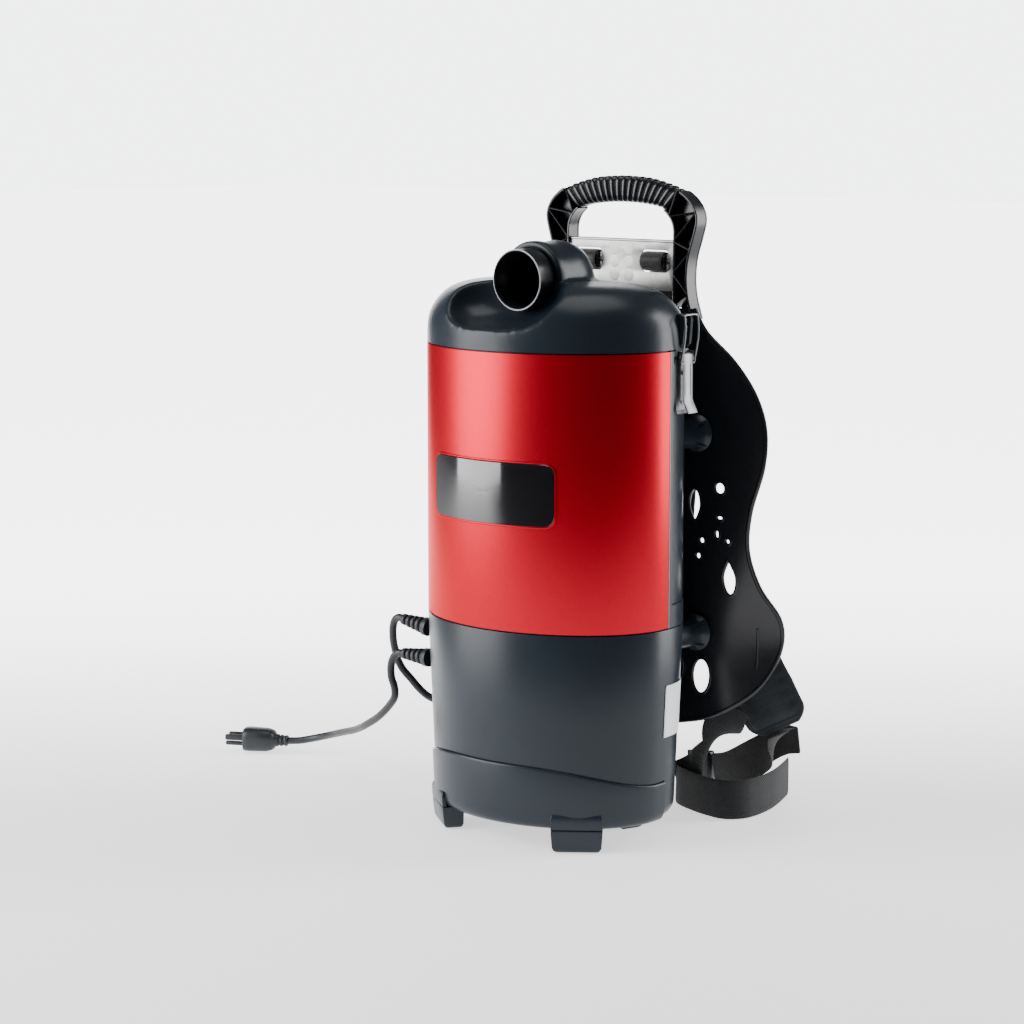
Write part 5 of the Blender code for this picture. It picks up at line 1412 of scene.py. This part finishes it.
# ---------------------------------------------------------------- cords, plug and switch
def relief(name, replaces, z, rise):
    """A tapered strain relief with four deep ribs, its wide end against the body."""
    length = RELIEF_BASE_X - RELIEF_TIP_X
    profile = [(0.0, 0.0), (CORD_R + 0.001, 0.0), (CORD_R + 0.0014, -0.0006)]
    for i in range(4):
        r, s = 0.0056 + 0.0022 * i / 3, length * (0.04 + 0.195 * i)
        profile += [(r - 0.0006, -s), (r, -s - 0.0006), (r, -s - 0.0037), (r - 0.0005, -s - 0.0042),
                    (r - 0.0016, -s - 0.0045), (r - 0.0016, -s - 0.0066)]
    profile += [(0.0084, -length * 0.83), (0.009, -length * 0.85), (0.009, -length), (0.0, -length)]
    at = (RELIEF_TIP_X, RELIEF_Y, z + (0.0045 if rise else 0.0))
    piece = turned(name, profile, JACKET, at, (0.0, math.radians(rise - 90.0), 0.0), 48, angle=50.0)
    place(piece, "frame", replaces)


POWER_ROUTE = ((-0.1614, -0.032, 0.1495), (-0.166, -0.032, 0.149), (-0.173, -0.0315, 0.144),
               (-0.1775, -0.0305, 0.1345), (-0.1775, -0.03, 0.123), (-0.1745, -0.029, 0.1135),
               (-0.1755, -0.0275, 0.104), (-0.1865, -0.0233, 0.0925), (-0.2062, -0.017, 0.0775),
               (-0.234, -0.005, 0.063), (-0.268, 0.016, 0.049), (-0.308, 0.038, 0.036),
               (-0.342, 0.0535, 0.025), (-0.365, 0.055, 0.018), (-0.3805, 0.0486, 0.0143),
               (-0.3911, 0.0432, 0.0135))
SWITCH_ROUTE = ((-0.1611, -0.032, 0.1839), (-0.1652, -0.032, 0.1843), (-0.1705, -0.0314, 0.1815),
                (-0.1752, -0.0296, 0.1735), (-0.1785, -0.0262, 0.1635), (-0.1815, -0.0215, 0.154),
                (-0.1835, -0.0165, 0.1445), (-0.1845, -0.012, 0.1355), (-0.183, -0.007, 0.1265),
                (-0.1775, -0.001, 0.1165), (-0.171, 0.0045, 0.1062), (-0.168, 0.016, 0.0965),
                (-0.1695, 0.042, 0.088), (-0.175, 0.076, 0.085), (-0.186, 0.105, 0.088),
                (-0.193, 0.124, 0.096), (-0.188, 0.132, 0.1032), (-0.181, 0.1328, 0.104))


def cord(name, route, replaces):
    """A round cord as one open spline; gives the object, its length and its first point in the row frame."""
    points = smooth_path(route, 90)
    data = bpy.data.curves.new(name, "CURVE")
    data.dimensions = "3D"
    spline = data.splines.new("POLY")
    spline.points.add(len(points) - 1)
    for made, point in zip(spline.points, points):
        made.co = (*point, 1.0)
    data.bevel_depth = CORD_R
    data.bevel_resolution = 6
    data.use_fill_caps = True
    obj = bpy.data.objects.new(name, data)
    bpy.context.scene.collection.objects.link(obj)
    data.materials.append(JACKET)
    place(obj, "frame", replaces)
    exit_at = points[0] + Vector((0.0, BODY_Y, 0.0))
    return obj, path_length(points), tuple(exit_at)


def plug():
    """Moulded plug with two flat blades and a round pin, lying on the floor."""
    c, s = math.cos(PLUG_ANGLE), math.sin(PLUG_ANGLE)

    def at(x, y, z):
        return (PLUG_TAIL[0] + c * x - s * y, PLUG_TAIL[1] + s * x + c * y, PLUG_TAIL[2] + z)
    levels = ((0.0, 0.005, 0.005), (0.0006, 0.0056, 0.0056), (0.0026, 0.0056, 0.0056),
              (0.0032, 0.0048, 0.0048), (0.0048, 0.0048, 0.0048), (0.0054, 0.006, 0.0058),
              (0.0074, 0.0061, 0.0059), (0.008, 0.0052, 0.0051), (0.0096, 0.0052, 0.0051),
              (0.0102, 0.0066, 0.0062), (0.013, 0.007, 0.0064), (0.0145, 0.009, 0.0086),
              (0.016, 0.0102, 0.0102), (0.022, 0.0125, 0.012), (0.032, 0.0129, 0.0123),
              (0.0405, 0.0132, 0.0126), (0.0455, 0.0129, 0.0124), (0.0468, 0.0122, 0.0118),
              (0.047, 0.0112, 0.0108))
    rows = []
    for x, half_y, half_z in levels:
        row = []
        for i in range(48):
            t = math.tau * i / 48
            y = math.copysign(abs(math.cos(t)) ** 0.7, math.cos(t)) * half_y
            z = math.copysign(abs(math.sin(t)) ** 0.7, math.sin(t)) * half_z
            row.append(at(x, y, z))
        rows.append(row)
    body = loft("plug_body", rows, JACKET, angle=60.0)
    metal_parts = []
    for sign in (-1, 1):
        row = [[at(x, sign * y, z) for y, z in ((0.0056, low), (0.0071, low), (0.0071, high), (0.0056, high))]
               for x, low, high in ((0.045, -0.001, 0.0054), (0.065, -0.001, 0.0054),
                                    (0.067, -0.0002, 0.0046))]
        metal_parts.append(beveled(loft("blade", row, NICKEL), 0.0003, 2))
    pin = [at(x, 0.0, -0.0055) for x in (0.045, 0.0665, 0.0678, 0.0685)]
    metal_parts.append(rod("earth", [Vector(p) for p in pin],
                           lambda t: 0.0024 if t < 0.4 else 0.0022 if t < 0.8 else 0.0012,
                           NICKEL, sides=20))
    whole = join("cord_plug", [body] + metal_parts)
    place(whole, "frame", "plug")
    return whole


def switch():
    x, y, z = SWITCH_AT
    pod = rounded_box("pod", (x - 0.019, y - 0.0085, z - 0.026), (x + 0.019, y + 0.008, z + 0.026), 0.006,
                      BLACK, 6)
    boolean(pod, rounded_box("room", (x - 0.0088, y - 0.02, z - 0.0128),
                             (x + 0.0088, y - 0.0002, z + 0.0128), 0.0006, None))
    pod.data.materials.clear()
    pod.data.materials.append(BLACK)
    pod.data.shade_smooth()
    pod.data.set_sharp_from_angle(angle=math.radians(40))
    frame_line = rounded_rect(x - 0.0104, x + 0.0104, z - 0.0144, z + 0.0144, 0.003)
    ring = rod("switch_ring", [Vector((px, y - 0.0085, pz)) for px, pz in frame_line], 0.0009, BLACK, 8,
               cyclic=True)
    seam = [Vector((px, y, pz)) for px, pz in rounded_rect(x - 0.0191, x + 0.0191, z - 0.0261, z + 0.0261,
                                                           0.006)]
    bead = rod("switch_seam", seam, 0.0004, BLACK, 8, cyclic=True)
    place(join("switch_pod", [pod, ring, bead]), "frame", "switch_housing")
    axis = y - 0.0062
    profile = [(-0.005, -0.0118), (-0.0036, -0.006), (-0.0024, 0.0), (-0.0028, 0.006), (-0.0036, 0.0118),
               (0.0016, 0.0112), (0.0048, 0.003), (0.0048, -0.003), (0.0016, -0.0112)]
    rows = [[(x + side * 0.0083, axis + py, z + pz) for py, pz in profile] for side in (-1, 1)]
    place(beveled(loft("rocker", rows, SWITCH_RED), 0.0005, 3), "switch_rocker",
          "switch_rocker")


# ---------------------------------------------------------------- inside
def bag():
    """The paper filter bag: pleated sides between a gathered foot and the collar."""
    levels = smooth_path([(z, 0.0, inset) for z, inset in ((0.214, 0.045), (0.222, 0.028), (0.245, 0.017),
                                                           (0.33, 0.013), (0.4, 0.017), (0.425, 0.03),
                                                           (0.436, 0.05))],
                         70)
    rows = []
    for p in levels:
        row = []
        for i in range(240):
            a = math.tau * i / 240
            fold = 0.0022 * math.sin(a * 36.0) * min(1.0, max(0.0, (0.06 - p.z) / 0.03))
            crease = 0.0012 * noise.noise(Vector((math.cos(a) * 4.0, math.sin(a) * 4.0, p.x * 30.0)))
            row.append((*outline(a, p.z + 0.0018 + fold + crease), p.x))
        rows.append(row)
    place(loft("pleated_bag", rows, PAPER, angle=60.0), "frame", "filter_bag")


CARRIED = {
    INNER: ("fan_case", "motor_cradle", "fan_impeller"),
    ZINC: ("motor_can", "lower_bearing", "upper_bearing", "motor_shaft"),
    RUBBER: ("motor_mount_ring",),
    COPPER: ("motor_rotor",),
    PAPER: ("bag_collar", "exhaust_filter"),
}


def carried_over():
    for mat, names in CARRIED.items():
        for name in names:
            node = bpy.data.objects[name]
            node.data.materials.clear()
            node.data.materials.append(mat)


# ---------------------------------------------------------------- the whole
housing()
cover()
feet()
tank()
panel()
badge()
label()
lid()
gasket()
intake()
bag()
for side, hand in SIDES:
    latch(side, hand)
    roller(side, hand)
    shoulder_set(side, hand)
    belt(side, hand)
place(join("plate_and_handle", plate() + handle()), "frame", "harness_plate")
bracket()
buckles()
relief("power_relief", "power_strain_relief", 0.1495, 0.0)
relief("switch_relief", "switch_strain_relief", 0.179, 7.0)
switch()
plug_piece = plug()
power, power_length, power_exit = cord("mains_cord", POWER_ROUTE, "power_cord")
lead, lead_length, lead_exit = cord("switch_lead", SWITCH_ROUTE, "switch_cord")
carried_over()
